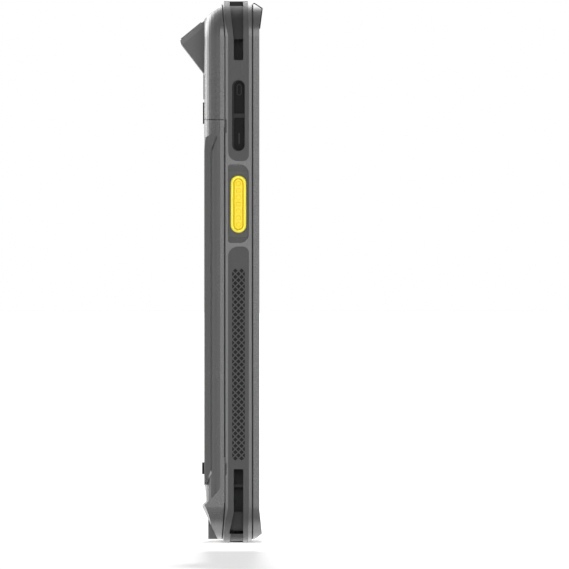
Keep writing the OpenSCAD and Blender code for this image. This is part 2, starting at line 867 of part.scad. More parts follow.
// Wells and openings in the upper bumper
module volume_cuts() {
    floor_x = half_w - panel_skin - well_depth;
    low = volume_z - volume_well_len / 2;
    high = volume_z + volume_well_len / 2;
    difference() {
        along_x(floor_x, half_w + cut) pill(y_mid, volume_z, volume_well_w, volume_well_len);
        translate([floor_x - cut, y_panel, rib_low])
            cube([cut + well_depth - key_sink / 2, panel_depth, rib_w]);
    }
    along_x(x_under - cut, floor_x + cut) {
        key_outline(volume_key_w + 2 * run, low + well_gap - run, rib_low, true, false);
        key_outline(volume_key_w + 2 * run, rib_high, high - well_gap + run, false, true);
    }
}
module power_cuts() {
    floor_x = half_w - panel_skin - well_depth;
    low = power_z - power_well_len / 2 + well_gap - run;
    high = power_z + power_well_len / 2 - well_gap + run;
    along_x(floor_x, half_w + cut) pill(y_mid, power_z, power_well_w, power_well_len);
    along_x(x_under - cut, floor_x + cut) key_outline(power_key_w + 2 * run, low, high, true, true);
}

// Pockets in the frame behind the keys and triggers
module key_pockets() {
    floor_x = x_under - panel_skin - flange_t - key_travel - fit / 2;
    wide = volume_well_w + flange_over;
    along = volume_well_len + 2 * flange_over;
    mirror([1, 0, 0]) {
        along_x(floor_x, x_under + touch) pill(y_mid, volume_z, wide, along);
        for (z = [volume_up_mid, volume_down_mid]) switch_hole(floor_x, key_travel, z);
    }
    along_x(floor_x, x_under + touch)
        pill(y_mid, power_z, power_well_w + flange_over, power_well_len + 2 * flange_over);
    switch_hole(floor_x, key_travel, power_z);
    both_sides() {
        tx = x_under - panel_skin - flange_t - trigger_travel - fit / 2;
        along_x(tx, x_under + touch)
            pill(y_mid, trigger_z, trigger_w + 3 * flange_over, trigger_len + 3 * flange_over);
        switch_hole(tx, trigger_travel, trigger_z);
    }
}
trigger_z = body_length - trigger_from_top;
volume_up_mid = (rib_high + run + volume_z + volume_well_len / 2 - well_gap) / 2;
volume_down_mid = (rib_low - run + volume_z - volume_well_len / 2 + well_gap) / 2;
function switch_x(travel) = x_under - panel_skin - flange_t - stem_len - travel - touch - dome_t;
module switch_hole(floor_x, travel, z) {
    translate([switch_x(travel), key_y, z]) rotate([0, 90, 0])
        cylinder(d = 2 * stem_d, h = floor_x - switch_x(travel) + fit);
}
module switch_dome(travel, z) {
    translate([switch_x(travel), key_y, z]) rotate([0, 90, 0]) cylinder(d = 2 * (stem_d - fit), h = dome_t);
}
module side_switches() color("silver") {
    mirror([1, 0, 0]) for (z = [volume_up_mid, volume_down_mid]) switch_dome(key_travel, z);
    switch_dome(key_travel, power_z);
    both_sides() switch_dome(trigger_travel, trigger_z);
}

// Yellow scan trigger with a raised pad and a row of dots
module trigger() {
    flange_x = x_under - panel_skin - flange_t;
    pad_x = half_w + trigger_proud;
    difference() {
        along_x(flange_x + flange_t, pad_x - pad_proud) pill(y_mid, trigger_z, trigger_w, trigger_len);
        along_x(pad_x - pad_proud - rim_groove, pad_x)
            pill(y_mid, trigger_z, trigger_w - 2 * rim_w, trigger_len - 2 * rim_w);
    }
    along_x(pad_x - pad_proud - 2 * rim_groove, pad_x)
        pill(y_mid, trigger_z, trigger_w - 2 * pad_inset, trigger_len - 2 * pad_inset);
    along_x(flange_x, flange_x + flange_t)
        pill(y_mid, trigger_z, trigger_w + 2 * flange_over, trigger_len + 2 * flange_over);
    translate([flange_x - stem_len, key_y, trigger_z]) rotate([0, 90, 0]) cylinder(d = stem_d, h = stem_len);
    ball = (dot_d * dot_d / 4 + dot_h * dot_h) / (2 * dot_h);
    for (i = [0:dot_count - 1])
        translate([pad_x + dot_h - ball, y_mid, trigger_z + (i - (dot_count - 1) / 2) * dot_pitch])
            sphere(ball);
}
module right_trigger() color("gold") trigger();
module left_trigger() color("gold") mirror([1, 0, 0]) trigger();

// Inner pieces of the front compartment
module main_board() color("darkgreen") {
    y = board_y();
    difference() {
        along_y(y, y + board_t) rounded(-board_half, board_half, board_low, board_high, pocket_r);
        for (x = [-1, 1], z = [board_low + 2 * boss_r, board_high - 2 * boss_r])
            along_y(y - cut, y + board_t + cut) translate([x * (board_half - 2 * boss_r), z])
                circle(boss_r / 2);
    }
}
module shield_cans() color("silver") {
    y = board_y() + board_t;
    span = board_high - board_low;
    for (b = shield_shares)
        translate([b[0] * board_half, y, board_low + b[1] * span])
            cube([b[2] * board_half, shield_t, b[3] * span]);
}
module board_connector() color("#1a1a1a") {
    translate([-board_half / 4, board_y() - shield_t, board_low + board_half / 4])
        cube([board_half / 2, shield_t, boss_r]);
}
module loudspeaker() color("#303030") {
    z = pocket_low + fit;
    translate([-speaker_w / 2, y_web - speaker_t, z]) cube([speaker_w, speaker_t, speaker_h]);
}
module vibration_motor() color("silver") {
    along_y(y_web - motor_t, y_web) translate([pocket_half - motor_d, pocket_low + fit + motor_d / 2])
        circle(d = motor_d);
}

// Rounded flank, from its slant at the flat side on to the back plane, drawn in by an inset
edge_steps = 8;
function edge_arc(inset) = [for (i = [0:edge_steps]) let (a = flank_tilt + (90 - flank_tilt) * i / edge_steps)
    [round_x + (rear_round - inset) * cos(a), y_back - rear_round + (rear_round - inset) * sin(a)]];
function mirrored(list) = [for (p = backwards(list)) [-p[0], p[1]]];

// Section of the rear shells across the width: flat sides and rounded flanks
module rear_section() {
    right = concat([[rear_half, y_frame_back]], edge_arc(0));
    polygon(concat(right, mirrored(right)));
}

// Rear body up to the top, with flanks that follow the top corners
module flanked_body() {
    corner_z = body_length - corner_r;
    corner_x = half_w - corner_r;
    along_z(z_seam, corner_z) rear_section();
    translate([-corner_x, y_frame_back, corner_z - cut])
        cube([2 * corner_x, y_back - y_frame_back, corner_r + cut]);
    both_sides() translate([corner_x, 0, corner_z]) rotate([-90, 0, 0]) rotate_extrude() intersection() {
        translate([-corner_x, 0]) rear_section();
        translate([0, y_frame_back]) square([corner_r, rear_depth + seal_gap]);
    }
}

// Body below the top's slope, its side edges rounded like the flanks
module slope_limit(crest) {
    lean = atan2(crest[1] - (body_length - top_slope_drop), y_back - crest[0]);
    right = concat([[rear_half, -slope_reach]], [for (p = edge_arc(0)) [p[0], p[1] - y_back]]);
    translate([0, y_back, body_length - top_slope_drop]) rotate([90 - lean, 0, 0])
        along_z(-slope_reach, slope_reach) polygon(concat(right, mirrored(right)));
}

module rear_housing() color("dimgray") {
    top_y = y_rear + end_flare * (1 - top_gap / flare_len);
    fall = top_slope_drop - top_gap;
    crest = [for (c = top_crest_shares) [y_rear + c[0] * rear_depth, body_length - top_gap - c[1] * fall]];
    steep = (crest[1][1] - crest[0][1]) / (crest[1][0] - crest[0][0]);
    difference() {
        intersection() {
            flanked_body();
            slope_limit(crest[1]);
            along_y(y_frame_back, y_back + cut) outline(rear_inset);
            along_x(-half_w, half_w) polygon([[y_back + cut, z_seam], [y_rear, z_seam],
                [y_rear, body_length - flare_len], [top_y, body_length - top_gap], crest[0],
                [y_back + cut, crest[0][1] + steep * (y_back + cut - crest[0][0])]]);
        }
        along_y(y_rear - cut, y_back - shell_wall)
            rounded(-upper_bay_half, upper_bay_half, upper_bay_low, upper_bay_high, pocket_r);
        island_space(0);
        along_y(y_frame_back, y_back) translate([island_x, camera_z]) circle(d = lens_bore);
        scan_cavity();
        latch_space(latch_slot, z_seam - cut, z_seam + latch_up + latch_slot);
    }
}

// Places pieces in the frame of the window face: Y runs down the face, Z out of it
module on_scan_face() translate([0, scan_top[0], scan_top[1]]) rotate([-scan_tilt, 0, 0]) children();
module face_block(half, y0, y1, z0, z1) on_scan_face() translate([-half, y0, z0])
    cube([2 * half, y1 - y0, z1 - z0]);

module hood_solid() {
    along_x(-hood_w / 2, hood_w / 2) {
        difference() {
            polygon([[y_back, hood_foot_z], [y_back, body_length - top_slope_drop], scan_top, scan_tip,
                scan_tip - [tip_round * 0.4, tip_round * 1.5]]);
            translate(scan_tip) circle(tip_round, $fn = 6);
        }
        translate(scan_tip - [tip_round * 1.1, tip_round * 0.25]) circle(tip_round * 0.95);
    }
}
module scan_cavity() {
    face_block(engine_half + fit, engine_face / 2 - fit, scan_face - engine_face / 2 + fit,
        -engine_deep - fit, cut);
}
module scanner_hood() color("#4a4b4d") {
    difference() {
        hood_solid();
        face_block(hood_w, -scan_face, 2 * scan_face, -scan_bezel_t, 2 * scan_face);
        scan_cavity();
    }
}
module window_bezel() color("#6a6b6d") {
    difference() {
        intersection() {
            hood_solid();
            face_block(hood_w, -scan_face, 2 * scan_face, -scan_bezel_t, -window_inset);
        }
        face_block(hood_w / 2 - window_lip, window_lip, scan_face - window_lip, -scan_bezel_t - cut, cut);
    }
}
module scan_window() color("#0c0d10") {
    face_block(hood_w / 2 - window_lip - touch, window_lip + touch, scan_face - window_lip - touch,
        -window_t - window_inset, 0);
    face_block(hood_w / 2 - window_inset, window_inset, scan_face - window_inset, -window_inset, 0);
}
module scan_engine() color("#202020") {
    face_block(engine_half, engine_face / 2, scan_face - engine_face / 2, -engine_deep, -engine_face);
}
module scan_lens() color("#30343c") {
    on_scan_face() translate([-engine_half / 3, scan_face / 2, -engine_face])
        cylinder(d = lens_d, h = engine_face / 3);
}
module aimer_led() color("#d8d8c8") {
    on_scan_face() for (x = [0.35, 0.75]) translate([x * engine_half, scan_face / 2, -engine_face])
        cylinder(d = aimer_d, h = engine_face / 4);
}
module antenna_flex() color("#8a6a2a") {
    y = y_back - shell_wall;
    translate([-engine_half, y - 2 * touch, upper_bay_low + fit])
        cube([2 * engine_half, 2 * touch, engine_half / 1.2]);
}

// Camera island: an oval of four arcs, standing just past the back plane
module island_outline(gap) {
    a = island_len / 2 + gap;
    b = island_w / 2 + gap;
    long = 1.25 * a;
    arc = (long * long + b * b) / (2 * b);
    translate([island_x, island_z]) intersection() {
        circle(a);
        translate([arc - b, 0]) circle(arc, $fn = 160);
        translate([b - arc, 0]) circle(arc, $fn = 160);
    }
}
module island_space(gap) {
    along_y(y_back + island_proud - island_depth, y_back + cut) island_outline(gap);
}
module camera_plate() color("#1a1a1b") {
    difference() {
        along_y(y_back + island_proud - island_depth, y_back + island_proud) island_outline(0);
        along_y(y_frame_back, y_back + cut) translate([island_x, camera_z]) circle(d = lens_bore);
        along_y(y_back - lens_seat, y_back + cut) translate([island_x, flash_z]) circle(d = flash_bore);
    }
}
module camera_module() color("#101114") {
    along_y(y_rear + fit, y_back - lens_seat) translate([island_x, camera_z])
        circle(d = lens_bore - 2 * touch);
}
module camera_lens() color("#0a0d14") {
    along_y(y_back - lens_seat, y_back + island_proud / 2) translate([island_x, camera_z])
        circle(d = lens_bore - 2 * touch);
}
module flash_lens() color("#e8e4d0") {
    along_y(y_back - lens_seat, y_back + island_proud / 2) translate([island_x, flash_z])
        circle(d = flash_bore - 2 * touch);
}

// Bottom port
module port_profile(gap, over) {
    polygon([[y_frame_back + end_flare - over, port_low - over], [y_frame_back - over, flare_len],
        [y_frame_back - over, port_high + gap], [port_y + gap, port_high + gap],
            [port_y + gap, port_low - over]]);
}
module usb_mouth(grow) {
    y = (y_rear + end_flare + port_y) / 2;
    translate([0, y]) {
        square([usb_w - usb_h, usb_h + 2 * grow], center = true);
        for (s = [-1, 1]) translate([s * (usb_w - usb_h) / 2, 0]) circle(usb_h / 2 + grow);
    }
}
module port_block() color("#3a3b3d") {
    difference() {
        along_x(-port_half, port_half) port_profile(0, 0);
        along_z(port_low - cut, port_low + usb_depth) usb_mouth(0);
        for (x = contact_xs) translate([x, (y_rear + end_flare + port_y) / 2, port_low - cut])
            cylinder(d = contact_d, h = cut + contact_d);
    }
}
module usb_connector() color("silver") {
    y = (y_rear + end_flare + port_y) / 2;
    difference() {
        along_z(port_low + touch, port_low + usb_depth) usb_mouth(-touch);
        along_z(port_low, port_low + usb_depth - usb_wall) usb_mouth(-usb_wall);
    }
    translate([-usb_w / 3, y - usb_wall, port_low + 2 * usb_wall])
        cube([usb_w / 1.5, 2 * usb_wall, usb_depth - 3 * usb_wall]);
}
module dock_contacts() color("gold") {
    for (x = contact_xs) translate([x, (y_rear + end_flare + port_y) / 2, port_low])
        cylinder(d = contact_d, h = contact_d);
}

// Battery cover: flanks, squared shoulders along the middle and a heel at the foot
module cover_profile() {
    polygon([[y_rear, heel_z], [y_rear, z_seam - cover_gap], [y_back, z_seam - cover_gap],
        [y_back, heel_dip_high],
        [y_back - heel_dip, heel_dip_low], [y_back - heel_dip, heel_z + heel_dip], [y_flank, heel_z]]);
}
// Crease of the heel, in shares of the flank's depth and of the crease's height over the heel's point
crease_shares = [[-0.06, 1], [0.03, 0.65], [0.48, 0.33]];
module heel_profile() {
    rise = heel_crease_z - heel_z;
    crease = [for (c = crease_shares) [y_flank + c[0] * flank_depth, heel_z + c[1] * rise]];
    polygon(concat([[y_rear + end_flare * (1 - foot_gap / flare_len), foot_gap], [y_rear, flare_len],
        [y_rear, heel_crease_z]], crease, [[heel_reach, heel_z], [heel_low_y, foot_gap]]));
}
// Limit of the heel that takes a long bevel off the side edges of its underside
module heel_limit() {
    slope = atan2(heel_reach - heel_low_y, heel_z - foot_gap);
    x = rear_half - 2 * heel_edge;
    translate([0, heel_low_y, foot_gap]) rotate([-slope, 0, 0]) along_z(-corner_r, 4 * corner_r)
        polygon([[-rear_half, -4 * corner_r], [rear_half, -4 * corner_r], [rear_half, -heel_edge], [x, 0],
            [-x, 0], [-rear_half, -heel_edge]]);
}
module shoulder_section() {
    x = rear_half - (flank_depth - 2 * shoulder_edge) * tan(shoulder_tilt);
    right = [[rear_half, y_frame_back], [rear_half, y_flank + shoulder_edge], [x, y_back - shoulder_edge],
        [x - shoulder_edge, y_back]];
    polygon(concat(right, mirrored(right)));
}
shoulder_top = [for (c = shoulder_top_shares)
    [y_flank + c[0] * flank_depth, shoulder_high + c[1] * flank_depth]];
shoulder_foot_z = shoulder_low - shoulder_foot_share * flank_depth;
module shoulder_profile() {
    polygon(concat(shoulder_top,
        [[y_back, shoulder_foot_z], [y_flank + root_share * flank_depth, shoulder_low]]));
}
// Shallow groove along the root of the shoulder, turned forward at the top and back at the foot
module shoulder_groove() {
    root = y_flank + root_share * flank_depth;
    bed = edge_arc(groove_depth);
    difference() {
        along_x(half_w / 2, half_w + cut) polygon([shoulder_top[0], shoulder_top[1], shoulder_top[2],
            shoulder_top[2] + [groove_w, groove_w / 2], shoulder_top[1] + [groove_w, 0],
                [root + groove_w, shoulder_high],
            [root + groove_w, shoulder_low], [y_back, shoulder_foot_z + groove_w],
            [y_back, shoulder_foot_z - groove_w], [root, shoulder_low - groove_w]]);
        along_z(-cut, body_length) polygon(concat([[0, y_frame_back], [bed[0][0], y_frame_back]], bed,
            [[0, y_back - groove_depth]]));
    }
}
module battery_cover() color("dimgray") {
    difference() {
        intersection() {
            along_y(y_frame_back, heel_reach + cut) outline(rear_inset);
            union() {
                intersection() {
                    along_z(0, z_seam - cover_gap) rear_section();
                    along_x(-half_w, half_w) cover_profile();
                }
                intersection() {
                    along_z(0, z_seam - cover_gap) shoulder_section();
                    along_x(-half_w, half_w) shoulder_profile();
                }
                intersection() {
                    along_x(-half_w, half_w) heel_profile();
                    heel_limit();
                }
            }
        }
        both_sides() shoulder_groove();
        along_y(y_rear - cut, y_back - shell_wall)
            rounded(-pocket_half, pocket_half, bay_low, bay_high, pocket_r);
        along_x(-port_half - fit, port_half + fit) port_profile(fit, cut);
        latch_space(latch_slot, z_seam - latch_down - latch_travel - latch_slot, z_seam + cut);
        anchor_space(cut);
    }
}
module battery_cells() color("#26282c") {
    along_y(y_web + web_t + fit, y_back - shell_wall)
        rounded(fit - pocket_half, pocket_half - fit, bay_low + fit, bay_high - 8 * fit, pocket_r);
}
module battery_contacts() color("gold") {
    z = bay_high - 8 * fit;
    for (i = [-1.5:1:1.5]) translate([i * battery_contact_pitch - contact_d / 2, y_web + web_t + 2 * fit, z])
        cube([contact_d, contact_d * 1.2, fit]);
}
module battery_connector() color("#1a1a1a") {
    z = bay_high - 6 * fit;
    translate([-2 * battery_contact_pitch, y_web + web_t, z])
        cube([4 * battery_contact_pitch, contact_d * 1.6, bay_high - z]);
}
module battery_seal() color("#2a2a2b") {
    x = pocket_half + 2 * contact_d;
    along_y(y_frame_back + touch, y_rear) difference() {
        rounded(-x, x, bay_low - contact_d, bay_high + contact_d, pocket_r);
        rounded(-x + contact_d / 2, x - contact_d / 2, bay_low - contact_d / 2, bay_high + contact_d / 2,
            pocket_r - contact_d / 2);
    }
}

// Latch plate across the seam, and the anchor block low on the back
module latch_space(gap, z0, z1) {
    translate([-latch_w / 2 - gap, y_back + latch_proud - latch_t - gap, z0])
        cube([latch_w + 2 * gap, latch_t + cut, z1 - z0]);
}
module battery_latch() color("#161616") {
    y = y_back + latch_proud - latch_t;
    rib = latch_t / 4;
    difference() {
        translate([-latch_w / 2, y, z_seam - latch_down]) cube([latch_w, latch_t, latch_up + latch_down]);
        for (i = [1:3]) translate([-latch_w / 3, y_back + latch_proud - rib, z_seam + i * latch_up / 4])
            cube([latch_w / 1.5, rib + cut, 2 * rib]);
    }
}
module anchor_space(over) {
    translate([-anchor_w / 2, y_back - shell_wall / 2, anchor_low])
        cube([anchor_w, shell_wall / 2 + over, anchor_high - anchor_low]);
}
module strap_anchor() color("#161616") anchor_space(anchor_proud);

front_housing();
top_bezel_insert();
display_glass();
display_panel();
front_camera();
status_led();
earpiece_mesh();
earpiece_receiver();
front_seal();
mid_frame();
rear_seal();
upper_bumper();
lower_bumper();
trigger_surround_left();
trigger_surround_right();
strap_bars();
volume_up_key();
volume_down_key();
power_key();
left_trigger();
right_trigger();
side_switches();
main_board();
shield_cans();
board_connector();
loudspeaker();
vibration_motor();
frame_screws();
rear_housing();
scanner_hood();
window_bezel();
scan_window();
scan_engine();
scan_lens();
aimer_led();
antenna_flex();
camera_plate();
camera_module();
camera_lens();
flash_lens();
port_block();
usb_connector();
dock_contacts();
battery_connector();
battery_cover();
battery_cells();
battery_contacts();
battery_seal();
battery_latch();
strap_anchor();
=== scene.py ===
"""Finishes, small dressed parts and the studio for a handheld data terminal with a scanner head."""

import logging
import math
from dataclasses import dataclass, field
from enum import Enum

import bmesh
import bpy
from bmesh.types import BMesh, BMVert
from bpy.types import Material, Node, NodeInputs, NodeOutputs, NodeSocket, NodeTree, Object
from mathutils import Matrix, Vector


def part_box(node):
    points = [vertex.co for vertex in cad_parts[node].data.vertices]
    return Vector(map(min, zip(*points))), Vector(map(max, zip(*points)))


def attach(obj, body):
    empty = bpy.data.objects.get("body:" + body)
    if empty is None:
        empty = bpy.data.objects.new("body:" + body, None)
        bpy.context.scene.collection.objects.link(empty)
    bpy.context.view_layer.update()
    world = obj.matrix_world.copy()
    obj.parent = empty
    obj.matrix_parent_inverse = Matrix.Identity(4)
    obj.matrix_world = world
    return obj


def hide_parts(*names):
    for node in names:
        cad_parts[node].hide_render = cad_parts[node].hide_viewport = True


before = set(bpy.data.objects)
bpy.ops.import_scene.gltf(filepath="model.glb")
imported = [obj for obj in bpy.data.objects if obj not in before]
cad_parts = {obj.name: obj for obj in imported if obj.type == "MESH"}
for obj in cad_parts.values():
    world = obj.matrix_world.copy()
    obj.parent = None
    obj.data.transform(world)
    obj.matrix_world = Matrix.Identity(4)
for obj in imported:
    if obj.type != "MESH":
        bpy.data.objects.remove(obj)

log = logging.getLogger("terminal")
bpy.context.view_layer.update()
MM = 0.001
PHOTO_PIXELS = 569
MM_PER_PIXEL = 0.31
SHARP_ANGLE = math.radians(38)
SPOT_EDGE = 0.1 * MM
TRIGGER_WIDTH = 4.8 * MM
TRIGGER_LENGTH = 17.7 * MM
DOT_PITCH = 2.12 * MM
DOT_RADIUS = 0.75 * MM

Colour = tuple[float, float, float]
Span = tuple[float, float]
Pairs = tuple[Span, ...]
Spots = tuple[tuple[str, float, Colour], ...]
Depths = tuple[tuple[float, float, Colour], ...]
Value = float | NodeSocket
Tint = Colour | NodeSocket


class Side(Enum):
    """The two long sides of the terminal."""

    LEFT = -1
    RIGHT = 1


def grey(level: int) -> Colour:
    """Linear colour of a neutral screen value, by the standard curve of screens.

    Args:
        level: Screen value from 0 to 255.

    Returns:
        The linear colour.
    """
    share = level / 255
    linear = share / 12.92 if share <= 0.04045 else ((share + 0.055) / 1.055) ** 2.4
    return (linear, linear, linear)


def middle_of(node: str) -> Vector:
    """Gives the middle of a node's box."""
    low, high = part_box(node)
    return (Vector(low) + Vector(high)) / 2


def wire(tree: NodeTree, source: NodeSocket, target: NodeSocket) -> None:
    """Joins two sockets of one node tree."""
    tree.links.new(source, target)


def feed(tree: NodeTree, value: Value | tuple, target: NodeSocket) -> None:
    """Joins a socket to an input, or writes a plain value on the input.

    Args:
        tree: Tree of the sockets.
        value: Source socket or plain value.
        target: Input that takes it.
    """
    if isinstance(value, NodeSocket):
        wire(tree, value, target)
    else:
        target.default_value = value


def axes(tree: NodeTree, place: NodeSocket) -> NodeOutputs:
    """Splits a vector into sockets named X, Y and Z.

    Args:
        tree: Tree that takes the node.
        place: Vector socket.

    Returns:
        The three sockets by name.
    """
    parts = tree.nodes.new("ShaderNodeSeparateXYZ")
    wire(tree, place, parts.inputs[0])
    return parts.outputs


def value_node(tree: NodeTree, operation: str, *values: Value) -> NodeSocket:
    """Adds a Math node.

    Args:
        tree: Tree that takes the node.
        operation: Name of the operation.
        *values: Socket or number for each input in turn.

    Returns:
        The node's output socket.
    """
    node = tree.nodes.new("ShaderNodeMath")
    node.operation = operation
    for target, value in zip(node.inputs, values):
        feed(tree, value, target)
    return node.outputs[0]


def less(tree: NodeTree, first: Value, second: Value) -> NodeSocket:
    """Gives the first value less the second."""
    return value_node(tree, "SUBTRACT", first, second)


def clamped(socket: NodeSocket) -> NodeSocket:
    """Keeps a Math node's output between 0 and 1."""
    socket.node.use_clamp = True
    return socket


def magnitude(tree: NodeTree, value: NodeSocket) -> NodeSocket:
    """Gives a value without its sign."""
    return value_node(tree, "ABSOLUTE", value)


def distance(tree: NodeTree, first: NodeSocket, second: NodeSocket) -> NodeSocket:
    """Gives the distance that two gaps at right angles make."""
    squares = [value_node(tree, "MULTIPLY", gap, gap) for gap in (first, second)]
    return value_node(tree, "SQRT", value_node(tree, "ADD", *squares))


def map_range(tree: NodeTree, value: NodeSocket, smooth: bool = False, **ends: Value) -> NodeSocket:
    """Adds a Map Range node.

    Args:
        tree: Tree that takes the node.
        value: Value to map.
        smooth: Whether the result eases in and out.
        **ends: Ends of the ranges by socket name, with spaces written as underscores.

    Returns:
        The node's output socket.
    """
    node = tree.nodes.new("ShaderNodeMapRange")
    if smooth:
        node.interpolation_type = "SMOOTHSTEP"
    wire(tree, value, node.inputs["Value"])
    for label, end in ends.items():
        feed(tree, end, node.inputs[label.replace("_", " ")])
    return node.outputs["Result"]


def noise(
    tree: NodeTree, given: NodeOutputs, scale: str, detail: float, distortion: float = 0.0
) -> NodeSocket:
    """Adds a noise texture to a group.

    Args:
        tree: Tree of the group.
        given: Sockets that give the group's inputs.
        scale: Name of the group input that holds the scale.
        detail: Number of finer layers.
        distortion: How much the noise is drawn out into streaks.

    Returns:
        The noise value.
    """
    node = tree.nodes.new("ShaderNodeTexNoise")
    node.inputs["Detail"].default_value = detail
    node.inputs["Distortion"].default_value = distortion
    wire(tree, given["Vector"], node.inputs["Vector"])
    wire(tree, given[scale], node.inputs["Scale"])
    return node.outputs["Fac"]


def group_tree(
    name: str, inputs: dict[str, float], outputs: list[str]
) -> tuple[NodeTree, NodeOutputs, NodeInputs]:
    """Starts a shader node group with a vector input and plain value sockets.

    Args:
        name: Name of the group.
        inputs: Value inputs with their default values.
        outputs: Names of the value outputs.

    Returns:
        The tree, the sockets that give its inputs and the sockets that take its outputs.
    """
    tree = bpy.data.node_groups.new(name, "ShaderNodeTree")
    tree.interface.new_socket(name="Vector", in_out="INPUT", socket_type="NodeSocketVector")
    for label, value in inputs.items():
        socket = tree.interface.new_socket(name=label, in_out="INPUT", socket_type="NodeSocketFloat")
        socket.default_value = value
    for label in outputs:
        tree.interface.new_socket(name=label, in_out="OUTPUT", socket_type="NodeSocketFloat")
    return tree, tree.nodes.new("NodeGroupInput").outputs, tree.nodes.new("NodeGroupOutput").inputs


def moulded_grain() -> NodeTree:
    """Builds the group that gives moulded plastic its fine texture, soft tone and uneven gloss.

    Returns:
        The group's tree.
    """
    names = {"Fine": 3500.0, "Broad": 45.0}
    tree, given, made = group_tree("moulded grain", names, ["Height", "Tone", "Gloss"])
    fine = noise(tree, given, "Fine", detail=2.0)
    broad = noise(tree, given, "Broad", detail=3.0)
    cells = tree.nodes.new("ShaderNodeTexVoronoi")
    wire(tree, given["Vector"], cells.inputs["Vector"])
    wire(tree, given["Fine"], cells.inputs["Scale"])
    cell_share = 0.5
    height = value_node(tree, "MULTIPLY_ADD", cells.outputs["Distance"], cell_share, fine)
    wire(tree, height, made["Height"])
    wire(tree, broad, made["Tone"])
    wire(tree, value_node(tree, "MULTIPLY", fine, broad), made["Gloss"])
    return tree


def finger_film() -> NodeTree:
    """Builds the group that gives polished faces a faint film in long soft streaks.

    Returns:
        The group's tree.
    """
    tree, given, made = group_tree("finger film", {"Scale": 22.0}, ["Film"])
    clean, covered = 0.42, 0.68
    streaks = noise(tree, given, "Scale", detail=4.0, distortion=0.8)
    wire(tree, map_range(tree, streaks, From_Min=clean, From_Max=covered), made["Film"])
    return tree


def display_mask() -> NodeTree:
    """Builds the group that marks the active area of the display inside its black border.

    Returns:
        The group's tree.
    """
    names = {"Half Width": 32 * MM, "Low": 20 * MM, "High": 150 * MM, "Soft": 0.4 * MM}
    tree, given, made = group_tree("display mask", names, ["Inside"])
    parts = axes(tree, given["Vector"])
    side = less(tree, given["Half Width"], magnitude(tree, parts["X"]))
    low = less(tree, parts["Z"], given["Low"])
    high = less(tree, given["High"], parts["Z"])
    least = value_node(tree, "MINIMUM", value_node(tree, "MINIMUM", side, low), high)
    share = value_node(tree, "DIVIDE", least, given["Soft"])
    wire(tree, clamped(share), made["Inside"])
    return tree


def outline_depth() -> NodeTree:
    """Builds the group that marks how far a point lies below the rounded outline of the front view, as a
    mask for painted shade.

    Returns:
        The group's tree.
    """
    names = {"Half Width": 40 * MM, "Length": 168 * MM, "Corner": 11 * MM}
    names |= {"From": 0.2 * MM, "To": 0.6 * MM}
    tree, given, made = group_tree("outline depth", names, ["Deep"])
    parts = axes(tree, given["Vector"])
    half = value_node(tree, "MULTIPLY", given["Length"], 0.5)
    along = magnitude(tree, less(tree, parts["Z"], half))
    reach = ((magnitude(tree, parts["X"]), given["Half Width"]), (along, half))
    gaps = [less(tree, place, end) for place, end in reach]
    past = [value_node(tree, "ADD", gap, given["Corner"]) for gap in gaps]
    round_part = distance(tree, *[value_node(tree, "MAXIMUM", gap, 0.0) for gap in past])
    flat_part = value_node(tree, "MINIMUM", value_node(tree, "MAXIMUM", *past), 0.0)
    depth = less(tree, given["Corner"], value_node(tree, "ADD", round_part, flat_part))
    ends = {"From_Min": given["From"], "From_Max": given["To"]}
    wire(tree, map_range(tree, depth, smooth=True, **ends), made["Deep"])
    return tree


def round_spot() -> NodeTree:
    """Builds the group that marks a round spot, seen along Y.

    Returns:
        The group's tree.
    """
    names = {"Middle X": 0.0, "Middle Z": 150 * MM, "Radius": 2 * MM}
    tree, given, made = group_tree("round spot", names, ["Inside"])
    parts = axes(tree, given["Vector"])
    gaps = [less(tree, parts[axis], given[f"Middle {axis}"]) for axis in "XZ"]
    inside = less(tree, given["Radius"], distance(tree, *gaps))
    share = value_node(tree, "DIVIDE", inside, SPOT_EDGE)
    wire(tree, clamped(share), made["Inside"])
    return tree


def pill_distance() -> NodeTree:
    """Builds the group that measures how far a point lies from the middle line of a pill-shaped key.

    Returns:
        The group's tree.
    """
    names = {"Middle Y": 0.0, "Middle Z": 105 * MM, "Half Run": 6 * MM}
    tree, given, made = group_tree("pill distance", names, ["Away"])
    parts = axes(tree, given["Vector"])
    across = less(tree, parts["Y"], given["Middle Y"])
    along = magnitude(tree, less(tree, parts["Z"], given["Middle Z"]))
    past = value_node(tree, "MAXIMUM", less(tree, along, given["Half Run"]), 0.0)
    wire(tree, distance(tree, across, past), made["Away"])
    return tree


GROUPS = {tree.name: tree for tree in (
    moulded_grain(), finger_film(), display_mask(), outline_depth(), round_spot(), pill_distance())}


